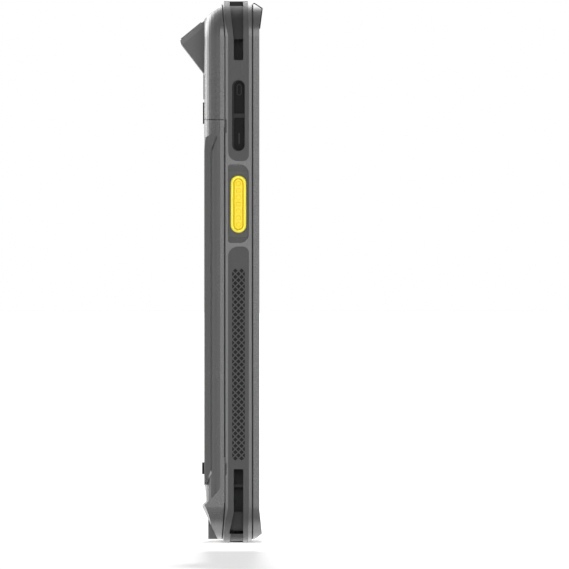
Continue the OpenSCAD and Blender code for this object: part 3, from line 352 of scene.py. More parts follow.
class Sheet:
    """A material under construction: its tree, its Principled BSDF and the object coordinates."""

    def __init__(self, name: str) -> None:
        """Starts a named material with a bare Principled BSDF.

        Args:
            name: Name of the material.
        """
        self.material = bpy.data.materials.new(name)
        self.material.use_nodes = True
        self.tree = self.material.node_tree
        self.bsdf = self.tree.nodes["Principled BSDF"]
        self.place = self.tree.nodes.new("ShaderNodeTexCoord").outputs["Object"]

    def group(self, name: str, **values: float) -> Node:
        """Places a shared group with its own values.

        Args:
            name: Name of the group.
            **values: Input values, with spaces written as underscores.

        Returns:
            The group node.
        """
        node = self.tree.nodes.new("ShaderNodeGroup")
        node.node_tree = GROUPS[name]
        wire(self.tree, self.place, node.inputs["Vector"])
        for label, value in values.items():
            node.inputs[label.replace("_", " ")].default_value = value
        return node

    def blend(self, mask: NodeSocket, first: Tint, second: Tint) -> None:
        """Makes the base colour a mix of two colours.

        Args:
            mask: Share of the second colour.
            first: Plain colour or colour socket.
            second: Plain colour or colour socket.
        """
        mix = self.tree.nodes.new("ShaderNodeMix")
        mix.data_type = "RGBA"
        targets = [item for item in mix.inputs if item.type == "RGBA"]
        for target, colour in zip(targets, (first, second)):
            feed(self.tree, colour if isinstance(colour, NodeSocket) else (*colour, 1), target)
        wire(self.tree, mask, mix.inputs[0])
        result = [item for item in mix.outputs if item.type == "RGBA"][0]
        wire(self.tree, result, self.bsdf.inputs["Base Color"])

    def cover(self, mask: NodeSocket, colour: Colour) -> None:
        """Lays a colour over the base colour so far, where the mask is 1."""
        so_far = self.bsdf.inputs["Base Color"].links[0].from_socket
        self.blend(mask, so_far, colour)

    def show_spots(self, spots: Spots) -> None:
        """Lays round spots over the base colour so far.

        Args:
            spots: Each spot's node, whose middle it has, its radius and its colour.
        """
        for node, radius, colour in spots:
            middle = middle_of(node)
            spot = self.group("round spot", Middle_X=middle.x, Middle_Z=middle.z, Radius=radius)
            self.cover(spot.outputs["Inside"], colour)

    def spread(self, mask: NodeSocket, low: float, high: float) -> None:
        """Makes the roughness run from low to high as a mask runs from 0 to 1."""
        rough = map_range(self.tree, mask, To_Min=low, To_Max=high)
        wire(self.tree, rough, self.bsdf.inputs["Roughness"])

    def step(self, value: NodeSocket, start: float, end: float) -> NodeSocket:
        """Turns a value into a mask that eases from 0 at the start to 1 at the end."""
        return map_range(self.tree, value, smooth=True, From_Min=start, From_Max=end)

    def bump(self, height: NodeSocket, strength: float, reach: float) -> None:
        """Feeds a height into the shader's normal through a Bump node.

        Args:
            height: Height as a plain value.
            strength: How much of the bump shows.
            reach: Real height that a value of 1 stands for.
        """
        node = self.tree.nodes.new("ShaderNodeBump")
        node.inputs["Strength"].default_value = strength
        node.inputs["Distance"].default_value = reach
        wire(self.tree, height, node.inputs["Height"])
        wire(self.tree, node.outputs["Normal"], self.bsdf.inputs["Normal"])

    def finished(self, **values: float) -> Material:
        """Sets plain values on the shader's own sockets and gives the material.

        Args:
            **values: Values by socket name, with spaces written as underscores.

        Returns:
            The material.
        """
        for label, value in values.items():
            self.bsdf.inputs[label.replace("_", " ")].default_value = value
        return self.material


@dataclass(frozen=True)
class Moulded:
    """Moulded plastic or rubber with a fine spark-eroded texture.

    Attributes:
        name: Name of the material.
        colour: Base colour, linear.
        rough: Middle of the roughness.
        gloss: Specular level.
        fine: Frequency of the texture per metre.
        depth: Strength of the texture.
        tone: Share by which the colour varies over the part.
        sheen: Weight of the soft light that the satin surface shows at a grazing angle.
        deep: Painted shade: depths below the outline, from and to, over which a darker colour takes
            over.
        smoother: How far the roughness falls below its middle.
        rougher: How far the roughness rises above its middle.
        relief: Real height that a texture value of 1 stands for.
        sheen_rough: Roughness of the sheen.
    """

    name: str
    colour: Colour
    rough: float = 0.5
    gloss: float = 0.5
    fine: float = 3500.0
    depth: float = 0.09
    tone: float = 0.06
    sheen: float = 0.3
    deep: Depths = ()
    smoother: float = 0.06
    rougher: float = 0.14
    relief: float = 0.04 * MM
    sheen_rough: float = 0.25

    def mark(self, sheet: Sheet) -> None:
        """Lays further colours over the base colour; the plain finish has only painted shade in its sunk
        places.

        Args:
            sheet: Material under construction.
        """
        # Painted shade: a darker colour takes over where the surface sinks below the outline.
        for low, high, colour in self.deep:
            below = sheet.group("outline depth", From=low, To=high)
            sheet.cover(below.outputs["Deep"], colour)

    def build(self) -> Material:
        """Builds the material.

        Returns:
            The material.
        """
        sheet = Sheet(self.name)
        grain = sheet.group("moulded grain", Fine=self.fine)
        dark = tuple(c * (1 - self.tone) for c in self.colour)
        light = tuple(c * (1 + self.tone) for c in self.colour)
        sheet.blend(grain.outputs["Tone"], dark, light)
        self.mark(sheet)
        sheet.spread(grain.outputs["Gloss"], self.rough - self.smoother, self.rough + self.rougher)
        sheet.bump(grain.outputs["Height"], self.depth, self.relief)
        return sheet.finished(
            Specular_IOR_Level=self.gloss, Sheen_Weight=self.sheen, Sheen_Roughness=self.sheen_rough)


@dataclass(frozen=True)
class KeyRubber(Moulded):
    """Dark key rubber whose raised marks are lighter.

    Attributes:
        mark_colour: Colour of the raised marks.
        mark_x: Distance from the middle plane beyond which a point is on a mark.
        mark_edge: Half of the distance over which the colour changes.
    """

    mark_colour: Colour = grey(50)
    mark_x: float = 39.5 * MM
    mark_edge: float = 0.02 * MM

    def mark(self, sheet: Sheet) -> None:
        """Colours the tops of the raised marks.

        Args:
            sheet: Material under construction.
        """
        away = magnitude(sheet.tree, axes(sheet.tree, sheet.place)["X"])
        top = sheet.step(away, self.mark_x - self.mark_edge, self.mark_x + self.mark_edge)
        sheet.cover(top, self.mark_colour)


@dataclass(frozen=True)
class TriggerRubber(Moulded):
    """Yellow trigger rubber with a painted highlight on its rim and painted shade in the groove inside
    it and in a ring round each dot.

    Attributes:
        node: Trigger whose middle the colours follow; the other one mirrors it.
        rim: Colour of the rim, paler than the pad: a painted highlight.
        groove: Colour of the groove between rim and pad, darker: painted shade.
        ring: Colour of the foot of each raised dot, darker: painted shade.
        half_run: Half length of the trigger's middle line.
        groove_from: Distance from the middle line at which the groove starts.
        rim_from: Distance from the middle line at which the rim starts.
        edge: Half of the distance over which groove and rim take over.
        ring_fade: Distances from a dot's outline at which its ring starts and is full.
    """

    node: str = "left_trigger"
    rim: Colour = (0.92, 0.8, 0.06)
    groove: Colour = (0.62, 0.42, 0.01)
    ring: Colour = (0.86, 0.6, 0.015)
    half_run: float = (TRIGGER_LENGTH - TRIGGER_WIDTH) / 2
    groove_from: float = 1.25 * MM
    rim_from: float = 1.55 * MM
    edge: float = 0.05 * MM
    ring_fade: Span = (0.22 * MM, 0.04 * MM)

    def mark(self, sheet: Sheet) -> None:
        """Paints shade at the foot of each dot and in the groove, and a highlight on the rim.

        Args:
            sheet: Material under construction.
        """
        tree = sheet.tree
        middle = middle_of(self.node)
        parts = axes(tree, sheet.place)
        across = less(tree, parts["Y"], middle.y)
        steps = value_node(tree, "DIVIDE", less(tree, parts["Z"], middle.z), DOT_PITCH)
        rest = less(tree, steps, value_node(tree, "ROUND", steps))
        along = value_node(tree, "MULTIPLY", rest, DOT_PITCH)
        off = magnitude(tree, less(tree, distance(tree, across, along), DOT_RADIUS))
        # Painted shade round the foot of each dot.
        sheet.cover(sheet.step(off, *self.ring_fade), self.ring)
        pill = sheet.group("pill distance", Middle_Y=middle.y, Middle_Z=middle.z, Half_Run=self.half_run)
        # Painted shade in the groove, then a painted highlight on the rim.
        for start, colour in ((self.groove_from, self.groove), (self.rim_from, self.rim)):
            sheet.cover(sheet.step(pill.outputs["Away"], start - self.edge, start + self.edge), colour)


@dataclass(frozen=True)
class Polished:
    """Smooth dark plastic or coated glass with a faint film.

    Attributes:
        name: Name of the material.
        colour: Base colour, linear.
        rough: Lowest roughness.
        film: How much rougher the film makes it.
        film_scale: Frequency of the film per metre.
        film_gain: Factor by which the film lightens the colour.
        film_lift: Light that the film adds.
        coat: Weight of the clear coat.
        coat_rough: Roughness of the coat.
        gloss: Specular level.
        spots: Rings and discs seen in it, each with the node it is centred on, its radius and colour.
    """

    name: str
    colour: Colour
    rough: float = 0.06
    film: float = 0.1
    film_scale: float = 22.0
    film_gain: float = 1.25
    film_lift: float = 0.001
    coat: float = 0.0
    coat_rough: float = 0.04
    gloss: float = 0.3
    spots: Spots = ()

    def tint(self, sheet: Sheet, film: NodeSocket) -> None:
        """Lays the base colour, which is lighter where the film is."""
        lighter = tuple(c * self.film_gain + self.film_lift for c in self.colour)
        sheet.blend(film, self.colour, lighter)

    def build(self) -> Material:
        """Builds the material.

        Returns:
            The material.
        """
        sheet = Sheet(self.name)
        film = sheet.group("finger film", Scale=self.film_scale).outputs["Film"]
        self.tint(sheet, film)
        sheet.show_spots(self.spots)
        sheet.spread(film, self.rough, self.rough + self.film)
        return sheet.finished(
            Specular_IOR_Level=self.gloss, Coat_Weight=self.coat, Coat_Roughness=self.coat_rough)


@dataclass(frozen=True)
class Screen(Polished):
    """Cover glass with a black border, in the base colour, round a slightly lighter display.

    Attributes:
        lit: Colour of the active area.
        half_width: Half width of the active area.
        low: Lower edge of the active area.
        high: Upper edge of the active area.
    """

    lit: Colour = (0.009, 0.010, 0.0125)
    half_width: float = 31.8 * MM
    low: float = 15.8 * MM
    high: float = 146.8 * MM

    def tint(self, sheet: Sheet, film: NodeSocket) -> None:
        """Lays the colours of border and display, which the film leaves as they are."""
        mask = sheet.group("display mask", Half_Width=self.half_width, Low=self.low, High=self.high)
        sheet.blend(mask.outputs["Inside"], self.colour, self.lit)


@dataclass(frozen=True)
class Metal:
    """Plain or plated metal with a fine uneven surface.

    Attributes:
        name: Name of the material.
        colour: Base colour, linear.
        rough: Middle of the roughness.
        fine: Frequency of the texture per metre.
        broad: Frequency of the change in tone per metre.
        dull: Share of the colour that is left where the metal is dull.
        smoother: How far the roughness falls below its middle.
        rougher: How far the roughness rises above its middle.
        depth: Strength of the texture.
        relief: Real height that a texture value of 1 stands for.
    """

    name: str
    colour: Colour
    rough: float = 0.3
    fine: float = 2200.0
    broad: float = 160.0
    dull: float = 0.85
    smoother: float = 0.08
    rougher: float = 0.12
    depth: float = 0.05
    relief: float = 0.02 * MM

    def build(self) -> Material:
        """Builds the material.

        Returns:
            The material.
        """
        sheet = Sheet(self.name)
        grain = sheet.group("moulded grain", Fine=self.fine, Broad=self.broad)
        sheet.blend(grain.outputs["Tone"], tuple(c * self.dull for c in self.colour), self.colour)
        sheet.spread(grain.outputs["Gloss"], self.rough - self.smoother, self.rough + self.rougher)
        sheet.bump(grain.outputs["Height"], self.depth, self.relief)
        return sheet.finished(Metallic=1.0)


class Finish(Enum):
    """Every finish of the terminal."""

    HOUSING = Moulded("housing", grey(80), rough=0.27, sheen=0.12, depth=0.05)
    # The frame and the bumpers get painted shade in their sunk places, darker with depth.
    FRAME = Moulded("frame", grey(86), rough=0.3, sheen=0.15, deep=(
        (1.2 * MM, 1.4 * MM, grey(44)), (1.9 * MM, 3.0 * MM, grey(22))))
    BUMPER = Moulded("bumper", grey(68), rough=0.55, gloss=0.3, fine=2800.0, depth=0.16, deep=(
        (0.2 * MM, 0.4 * MM, grey(6)),))
    HOOD = Moulded("hood", grey(76), rough=0.45, gloss=0.45)
    WINDOW_BEZEL = Moulded("window_bezel", grey(88), rough=0.45)
    SEAL = Moulded("seal", grey(58), rough=0.7, gloss=0.2)
    # Channel, pocket and slot end are darker, duller copies of the frame plastic: painted shade in the
    # strap channels, their pockets and slot ends.
    CHANNEL = Moulded("channel", grey(54), rough=0.6, gloss=0.08, fine=2800.0, sheen=0.0)
    POCKET = Moulded("pocket", grey(56), rough=0.75, gloss=0.08, sheen=0.0)
    SLOT_END = Moulded("slot_end", grey(66), rough=0.7, gloss=0.1, sheen=0.0)
    # Seam and notch are paler than the housing plastic: painted light that lifts the shade of the
    # battery cover's groove and of the foot of its shoulders.
    SEAM = Moulded("seam", grey(118), rough=0.7, gloss=0.2)
    NOTCH = Moulded("notch", grey(190), rough=0.6, gloss=0.3)
    # Well is a darker, duller copy of the bumper plastic: painted shade on the key-well floors.
    WELL = Moulded("well", grey(50), rough=0.7, gloss=0.1, sheen=0.0)
    # Surround is a paler copy of the bumper plastic: painted light that lifts the shade of the trigger
    # recess.
    SURROUND = Moulded("surround", grey(78), rough=0.55, gloss=0.3, fine=2800.0, depth=0.16)
    EDGE_BLACK = Moulded("edge_black", grey(22), rough=0.85, gloss=0.0, sheen=0.0)
    KEYS = KeyRubber("keys", grey(27), rough=0.7, gloss=0.08, fine=2600.0, sheen=0.0)
    BLACK_TRIM = Moulded("black_trim", grey(30), gloss=0.1, sheen=0.1)
    TRIGGER = TriggerRubber("trigger", (0.97, 0.71, 0.02), rough=0.42, gloss=0.4, depth=0.05, tone=0.02)
    CIRCUIT_BOARD = Moulded("circuit_board", (0.01, 0.08, 0.03), rough=0.4)
    FLEX = Moulded("flex", (0.3, 0.14, 0.02), rough=0.35)
    CELLS = Moulded("cells", grey(46), rough=0.38, depth=0.04)
    LED = Moulded("led", (0.75, 0.75, 0.68), rough=0.3, depth=0.03)
    DISPLAY = Polished("display", (0.012, 0.013, 0.016))
    LENS = Polished("lens", (0.004, 0.006, 0.014), rough=0.03, film=0.03, coat=0.04, gloss=0.1, spots=(
        ("camera_lens", 2.8 * MM, grey(40)), ("camera_lens", 2.6 * MM, grey(12)),
        ("camera_lens", 1.9 * MM, grey(34)), ("camera_lens", 1.7 * MM, grey(9)),
        ("camera_lens", 1.0 * MM, (0.002, 0.004, 0.012))))
    SCAN_WINDOW = Polished("scan_window", (0.006, 0.006, 0.009), rough=0.05, film=0.05, coat=0.2)
    MESH = Metal("mesh", (0.06, 0.06, 0.06), rough=0.45)
    STEEL = Metal("steel", (0.56, 0.56, 0.57), rough=0.32)
    CONTACTS = Metal("contacts", (0.85, 0.6, 0.26), rough=0.25)
    COVER_GLASS = Screen(
        "cover_glass", (0.0025, 0.0025, 0.003), film_scale=14.0, coat=0.04, coat_rough=0.02, gloss=0.14,
        spots=(("front_camera", 2.1 * MM, grey(58)), ("front_camera", 1.6 * MM, grey(8)),
               ("status_led", 0.6 * MM, grey(120))))

    @property
    def label(self) -> str:
        """Name of the material."""
        return self.value.name


MATERIALS = {finish: finish.value.build() for finish in Finish}


def wear(piece: Object, finish: Finish) -> None:
    """Gives a piece one finish in all its slots."""
    piece.data.materials.clear()
    piece.data.materials.append(MATERIALS[finish])


@dataclass(frozen=True)
class Patch:
    """Box on both sides of the terminal that picks faces of a CAD node by their middles.

    Attributes:
        x: Lowest and highest distance from the middle plane in millimetres.
        y: Lowest and highest Y in millimetres.
        z: Lowest and highest Z in millimetres.
        finish: Finish of the faces picked.
    """

    x: Span
    y: Span
    z: Span
    finish: Finish

    def holds(self, place: Vector) -> bool:
        """Tells whether a point lies in the box or in its mirror image."""
        spans = zip((abs(place.x), place.y, place.z), (self.x, self.y, self.z))
        return all(low * MM <= value <= high * MM for value, (low, high) in spans)

    def paint(self, node: str) -> None:
        """Gives the faces of a CAD node that the box holds their own finish.

        Args:
            node: Name of the node.
        """
        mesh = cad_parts[node].data
        picked = [face for face in mesh.polygons if self.holds(face.center)]
        if not picked:
            return
        mesh.materials.append(MATERIALS[self.finish])
        for face in picked:
            face.material_index = len(mesh.materials) - 1
        log.info("%s wears %s on %d faces", node, self.finish.label, len(picked))


def add_piece(name: str, builder: BMesh, body: str, finish: Finish) -> Object:
    """Turns a bmesh into a piece that rides on a body.

    Args:
        name: Name of the piece.
        builder: Mesh data, freed here.
        body: Body that carries the piece.
        finish: Finish that the piece wears.

    Returns:
        The new object.
    """
    mesh = bpy.data.meshes.new(name)
    bmesh.ops.recalc_face_normals(builder, faces=builder.faces)
    for face in builder.faces:
        face.smooth = True
    builder.to_mesh(mesh)
    builder.free()
    mesh.set_sharp_from_angle(angle=SHARP_ANGLE)
    piece = bpy.data.objects.new(name, mesh)
    bpy.context.scene.collection.objects.link(piece)
    wear(piece, finish)
    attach(piece, body)
    log.info("built %s on %s", name, body)
    return piece


def join_rings(builder: BMesh, rings: list[list[BMVert]]) -> None:
    """Joins closed rings of equal count by faces and closes the first and the last ring.

    Args:
        builder: Mesh under construction.
        rings: Rings of vertices, from one end to the other.
    """
    for first, second in zip(rings, rings[1:]):
        for place in range(len(first)):
            after = (place + 1) % len(first)
            builder.faces.new((first[place], first[after], second[after], second[place]))
    builder.faces.new(rings[0])
    builder.faces.new(rings[-1])


@dataclass
class LipEdge:
    """Thin black edge that follows the top lip of the front housing.

    Attributes:
        half_length: Half length along X.
        outline: Corners of its cross-section as Y and Z in millimetres.
        soft: Size of the broken edges.
    """

    half_length: float = 24.0 * MM
    outline: Pairs = (
        (-5.5, 167.5), (-5.95, 167.5), (-8.38, 165.98), (-8.45, 165.7), (-7.72, 160.0),
        (-6.9, 160.0), (-7.65, 165.37), (-5.87, 166.6), (-5.5, 166.6))
    soft: float = 0.05 * MM

    def build(self) -> None:
        """Builds the edge in place of its plain node."""
        builder = bmesh.new()
        ends = [[builder.verts.new((x, y * MM, z * MM)) for y, z in self.outline]
                for x in (-self.half_length, self.half_length)]
        join_rings(builder, ends)
        bmesh.ops.bevel(
            builder, geom=builder.edges[:], offset=self.soft, segments=1, affect="EDGES", profile=0.5)
        piece = add_piece("lip_edge", builder, "body", Finish.EDGE_BLACK)
        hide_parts("top_bezel_insert")


@dataclass
class ScanTrigger:
    """Moulded trigger with a rolled rim, a groove, a pad and a row of raised dots.

    Attributes:
        side: Side of the terminal.
        width: Width over the rim.
        length: Length over the rim.
        rise: Rise of the dots over the pad.
        profile: Distance in from the rim's outline and height over the pad, from the hidden flange
            inwards, in millimetres.
        dot_count: Number of dots.
        dot_pitch: Distance between dots.
        dot_radius: Radius of a dot.
        dome_lifts: Heights of a dot's rings as shares of its rise.
        dome_fall: How far the dome closes towards its top.
        arc_steps: Steps of each round end.
        dot_steps: Steps round a dot.
        name: Name of the CAD node that it stands in for.
        middle: Middle of that node.
        face: Distance of the pad from the middle plane.
    """

    side: Side
    width: float = TRIGGER_WIDTH
    length: float = TRIGGER_LENGTH
    rise: float = 0.24 * MM
    profile: Pairs = (
        (-0.5, -3.35), (-0.5, -2.95), (0.0, -2.95), (0.0, -0.5), (0.06, -0.26), (0.2, -0.09),
        (0.38, -0.02), (0.55, 0.0), (0.7, -0.02), (0.82, -0.1), (0.88, -0.26), (0.98, -0.32),
        (1.1, -0.26), (1.18, -0.1), (1.3, -0.03), (1.6, 0.0), (2.1, 0.0))
    dot_count: int = 7
    dot_pitch: float = DOT_PITCH
    dot_radius: float = DOT_RADIUS
    dome_lifts: tuple[float, ...] = (-0.15, 0.0, 0.35, 0.7, 0.93, 1.0)
    dome_fall: float = 0.98
    arc_steps: int = 20
    dot_steps: int = 20
    name: str = field(init=False)
    middle: Vector = field(init=False)
    face: float = field(init=False)

    def __post_init__(self) -> None:
        """Takes the place of the trigger from its CAD node."""
        self.name = f"{self.side.name.lower()}_trigger"
        self.middle = middle_of(self.name)
        low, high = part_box(self.name)
        self.face = max(abs(low[0]), abs(high[0])) - self.rise

    def ring(self, builder: BMesh, inset: float, height: float) -> list[BMVert]:
        """Adds one closed pill-shaped ring.

        Args:
            builder: Mesh under construction.
            inset: Distance in from the rim's outline.
            height: Height over the pad.

        Returns:
            The ring's vertices in order.
        """
        radius = self.width / 2 - inset
        run = self.length / 2 - self.width / 2
        places = []
        for end in (1, -1):
            for step in range(self.arc_steps + 1):
                turn = math.pi * step / self.arc_steps
                places.append((end * radius * math.cos(turn), end * (run + radius * math.sin(turn))))
        x = self.side.value * (self.face + height)
        return [builder.verts.new((x, self.middle.y + y, self.middle.z + z)) for y, z in places]

    def dot(self, builder: BMesh, z: float) -> None:
        """Adds one raised dot as a low dome that stands on the pad.

        Args:
            builder: Mesh under construction.
            z: Height of the dot's middle.
        """
        rings = []
        turns = [2 * math.pi * step / self.dot_steps for step in range(self.dot_steps)]
        for lift in self.dome_lifts:
            radius = self.dot_radius * math.sqrt(1 - max(lift, 0.0) ** 2 * self.dome_fall)
            x = self.side.value * (self.face + lift * self.rise)
            places = [(x, self.middle.y + radius * math.cos(t), z + radius * math.sin(t)) for t in turns]
            rings.append([builder.verts.new(place) for place in places])
        join_rings(builder, rings)

    def build(self) -> None:
        """Builds the trigger in place of its plain node."""
        builder = bmesh.new()
        rings = [self.ring(builder, inset * MM, height * MM) for inset, height in self.profile]
        join_rings(builder, rings)
        for place in range(self.dot_count):
            self.dot(builder, self.middle.z + (place - (self.dot_count - 1) / 2) * self.dot_pitch)
        body = "left_scan" if self.side is Side.LEFT else "right_scan"
        piece = add_piece(f"{self.name}_moulding", builder, body, Finish.TRIGGER)
        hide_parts(self.name)


@dataclass
class Assembly:
    """Sub-assembly whose CAD nodes each wear one finish.

    Attributes:
        nodes: Finish of each node.
    """

    nodes: dict[str, Finish]

    def build(self) -> None:
        """Dresses the nodes."""
        for node, finish in self.nodes.items():
            wear(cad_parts[node], finish)
            log.info("%s wears %s", node, finish.label)


@dataclass
class FrontHalf(Assembly):
    """Front housing, cover glass and what sits behind it."""

    nodes: dict[str, Finish] = field(default_factory=lambda: {
        "front_housing": Finish.HOUSING, "display_glass": Finish.COVER_GLASS,
        "display_panel": Finish.DISPLAY, "front_camera": Finish.LENS, "status_led": Finish.LED,
        "earpiece_mesh": Finish.MESH, "earpiece_receiver": Finish.STEEL, "front_seal": Finish.SEAL,
    })

    def build(self) -> None:
        """Dresses the front and builds the edge of its lip."""
        super().build()
        LipEdge().build()


@dataclass
class FrameRing(Assembly):
    """Frame ring with its soft bumpers, seals and inner pieces.

    Attributes:
        slot_y: Lowest and highest Y of the strap channels in millimetres.
        well_y: Lowest and highest Y of the key wells in millimetres.
        channel_x: Distances from the middle plane that the strap channels span in millimetres.
        pocket_x: Distances from the middle plane that the strap pockets span in millimetres.
        sunk: Nodes whose sunk places get painted shade.
    """

    nodes: dict[str, Finish] = field(default_factory=lambda: {
        "mid_frame": Finish.FRAME, "rear_seal": Finish.SEAL, "upper_bumper": Finish.BUMPER,
        # The trigger surrounds wear painted light, a paler copy of the bumper plastic.
        "lower_bumper": Finish.BUMPER, "trigger_surround_left": Finish.SURROUND,
        # The strap bars wear the pocket finish, painted shade.
        "trigger_surround_right": Finish.SURROUND, "strap_bars": Finish.POCKET,
        "side_switches": Finish.STEEL, "main_board": Finish.CIRCUIT_BOARD, "shield_cans": Finish.STEEL,
        "board_connector": Finish.BLACK_TRIM, "loudspeaker": Finish.BLACK_TRIM,
        "vibration_motor": Finish.STEEL, "frame_screws": Finish.STEEL,
        "battery_connector": Finish.BLACK_TRIM,
    })
    slot_y: Span = (-2.42, 0.57)
    well_y: Span = (-3.5, 1.2)
    channel_x: Span = (23.9, 39.88)
    pocket_x: Span = (30.0, 38.45)
    sunk: tuple[str, ...] = ("mid_frame", "upper_bumper", "lower_bumper")

    def patches(self) -> list[Patch]:
        """Lists the sunk places that get painted shade: strap channels, slot ends, strap pockets and key
        wells.

        Returns:
            The patches in painting order.
        """
        return [
            Patch(self.channel_x, self.slot_y, (149.8, 168.0), Finish.CHANNEL),
            Patch(self.channel_x, self.slot_y, (0.3, 22.6), Finish.CHANNEL),
            Patch((23.5, 24.5), self.slot_y, (160.0, 168.0), Finish.SLOT_END),
            Patch(self.pocket_x, self.slot_y, (149.8, 156.3), Finish.POCKET),
            Patch(self.pocket_x, self.slot_y, (9.4, 22.6), Finish.POCKET),
            Patch((38.95, 39.8), self.well_y, (121.0, 143.9), Finish.WELL),
        ]

    def build(self) -> None:
        """Dresses the frame and paints shade into its sunk places."""
        super().build()
        # Painted shade on the faces of the strap channels, slot ends, pockets and key wells.
        for node in self.sunk:
            for patch in self.patches():
                patch.paint(node)


@dataclass
class Controls(Assembly):
    """Side keys and scan triggers."""

    nodes: dict[str, Finish] = field(default_factory=lambda: {
        "volume_up_key": Finish.KEYS, "volume_down_key": Finish.KEYS, "power_key": Finish.KEYS,
    })

    def build(self) -> None:
        """Dresses the keys and builds the triggers."""
        super().build()
        for side in Side:
            ScanTrigger(side).build()


@dataclass
class RearShell(Assembly):
    """Rear housing with the scanner head, the camera island and the port."""

    nodes: dict[str, Finish] = field(default_factory=lambda: {
        "rear_housing": Finish.HOUSING, "scanner_hood": Finish.HOOD, "window_bezel": Finish.WINDOW_BEZEL,
        "scan_window": Finish.SCAN_WINDOW, "scan_engine": Finish.BLACK_TRIM, "scan_lens": Finish.LENS,
        "aimer_led": Finish.LED, "antenna_flex": Finish.FLEX, "camera_plate": Finish.BLACK_TRIM,
        "camera_module": Finish.BLACK_TRIM, "camera_lens": Finish.LENS, "flash_lens": Finish.LED,
        "port_block": Finish.HOOD, "usb_connector": Finish.STEEL, "dock_contacts": Finish.CONTACTS,
    })


@dataclass
class Battery(Assembly):
    """Battery cover with its cells, latch and anchor block.

    Attributes:
        groove: Groove along the cover's shoulders, painted paler to lift its shade.
        notch: Foot of the shoulders, painted paler to lift the shade it lies in.
    """

    nodes: dict[str, Finish] = field(default_factory=lambda: {
        "battery_cover": Finish.HOUSING, "battery_cells": Finish.CELLS,
        "battery_contacts": Finish.CONTACTS, "battery_seal": Finish.SEAL,
        "battery_latch": Finish.BLACK_TRIM, "strap_anchor": Finish.BLACK_TRIM,
    })
    groove: Patch = Patch((37.3, 38.5), (7.1, 7.75), (30.0, 123.0), Finish.SEAM)
    notch: Patch = Patch((34.5, 37.6), (7.6, 9.3), (18.3, 22.2), Finish.NOTCH)

    def build(self) -> None:
        """Dresses the battery and paints light into the groove and the foot of its cover's shoulders."""
        super().build()
        # Painted light on the groove and on the shaded foot of the shoulders.
        for patch in (self.groove, self.notch):
            patch.paint("battery_cover")


@dataclass(frozen=True)
class SoftSun:
    """Distant soft lamp that throws the shadow on the floor.

    Attributes:
        name: Name of the lamp.
        azimuth: Direction from which it shines, in degrees from +X towards +Y.
        elevation: Height over the floor in degrees.
        level: Irradiance over pi, so 1 shows a colour as written.
        spread: Angular size in degrees.
    """

    name: str
    azimuth: float
    elevation: float
    level: float
    spread: float

    def hang(self, floor: Object) -> None:
        """Makes the lamp, which lights only the floor, so the object keeps its plain level.

        Args:
            floor: The floor.
        """
        data = bpy.data.lights.new(self.name, "SUN")
        data.energy = self.level * math.pi
        data.angle = math.radians(self.spread)
        lamp = bpy.data.objects.new(self.name, data)
        turn, rise = math.radians(self.azimuth), math.radians(self.elevation)
        flat = math.cos(rise)
        towards = Vector((math.cos(turn) * flat, math.sin(turn) * flat, math.sin(rise)))
        lamp.rotation_euler = towards.to_track_quat("Z", "Y").to_euler()
        bpy.context.scene.collection.objects.link(lamp)
        lit = bpy.data.collections.new(f"lit by {self.name}")
        lit.objects.link(floor)
        lamp.light_linking.receiver_collection = lit


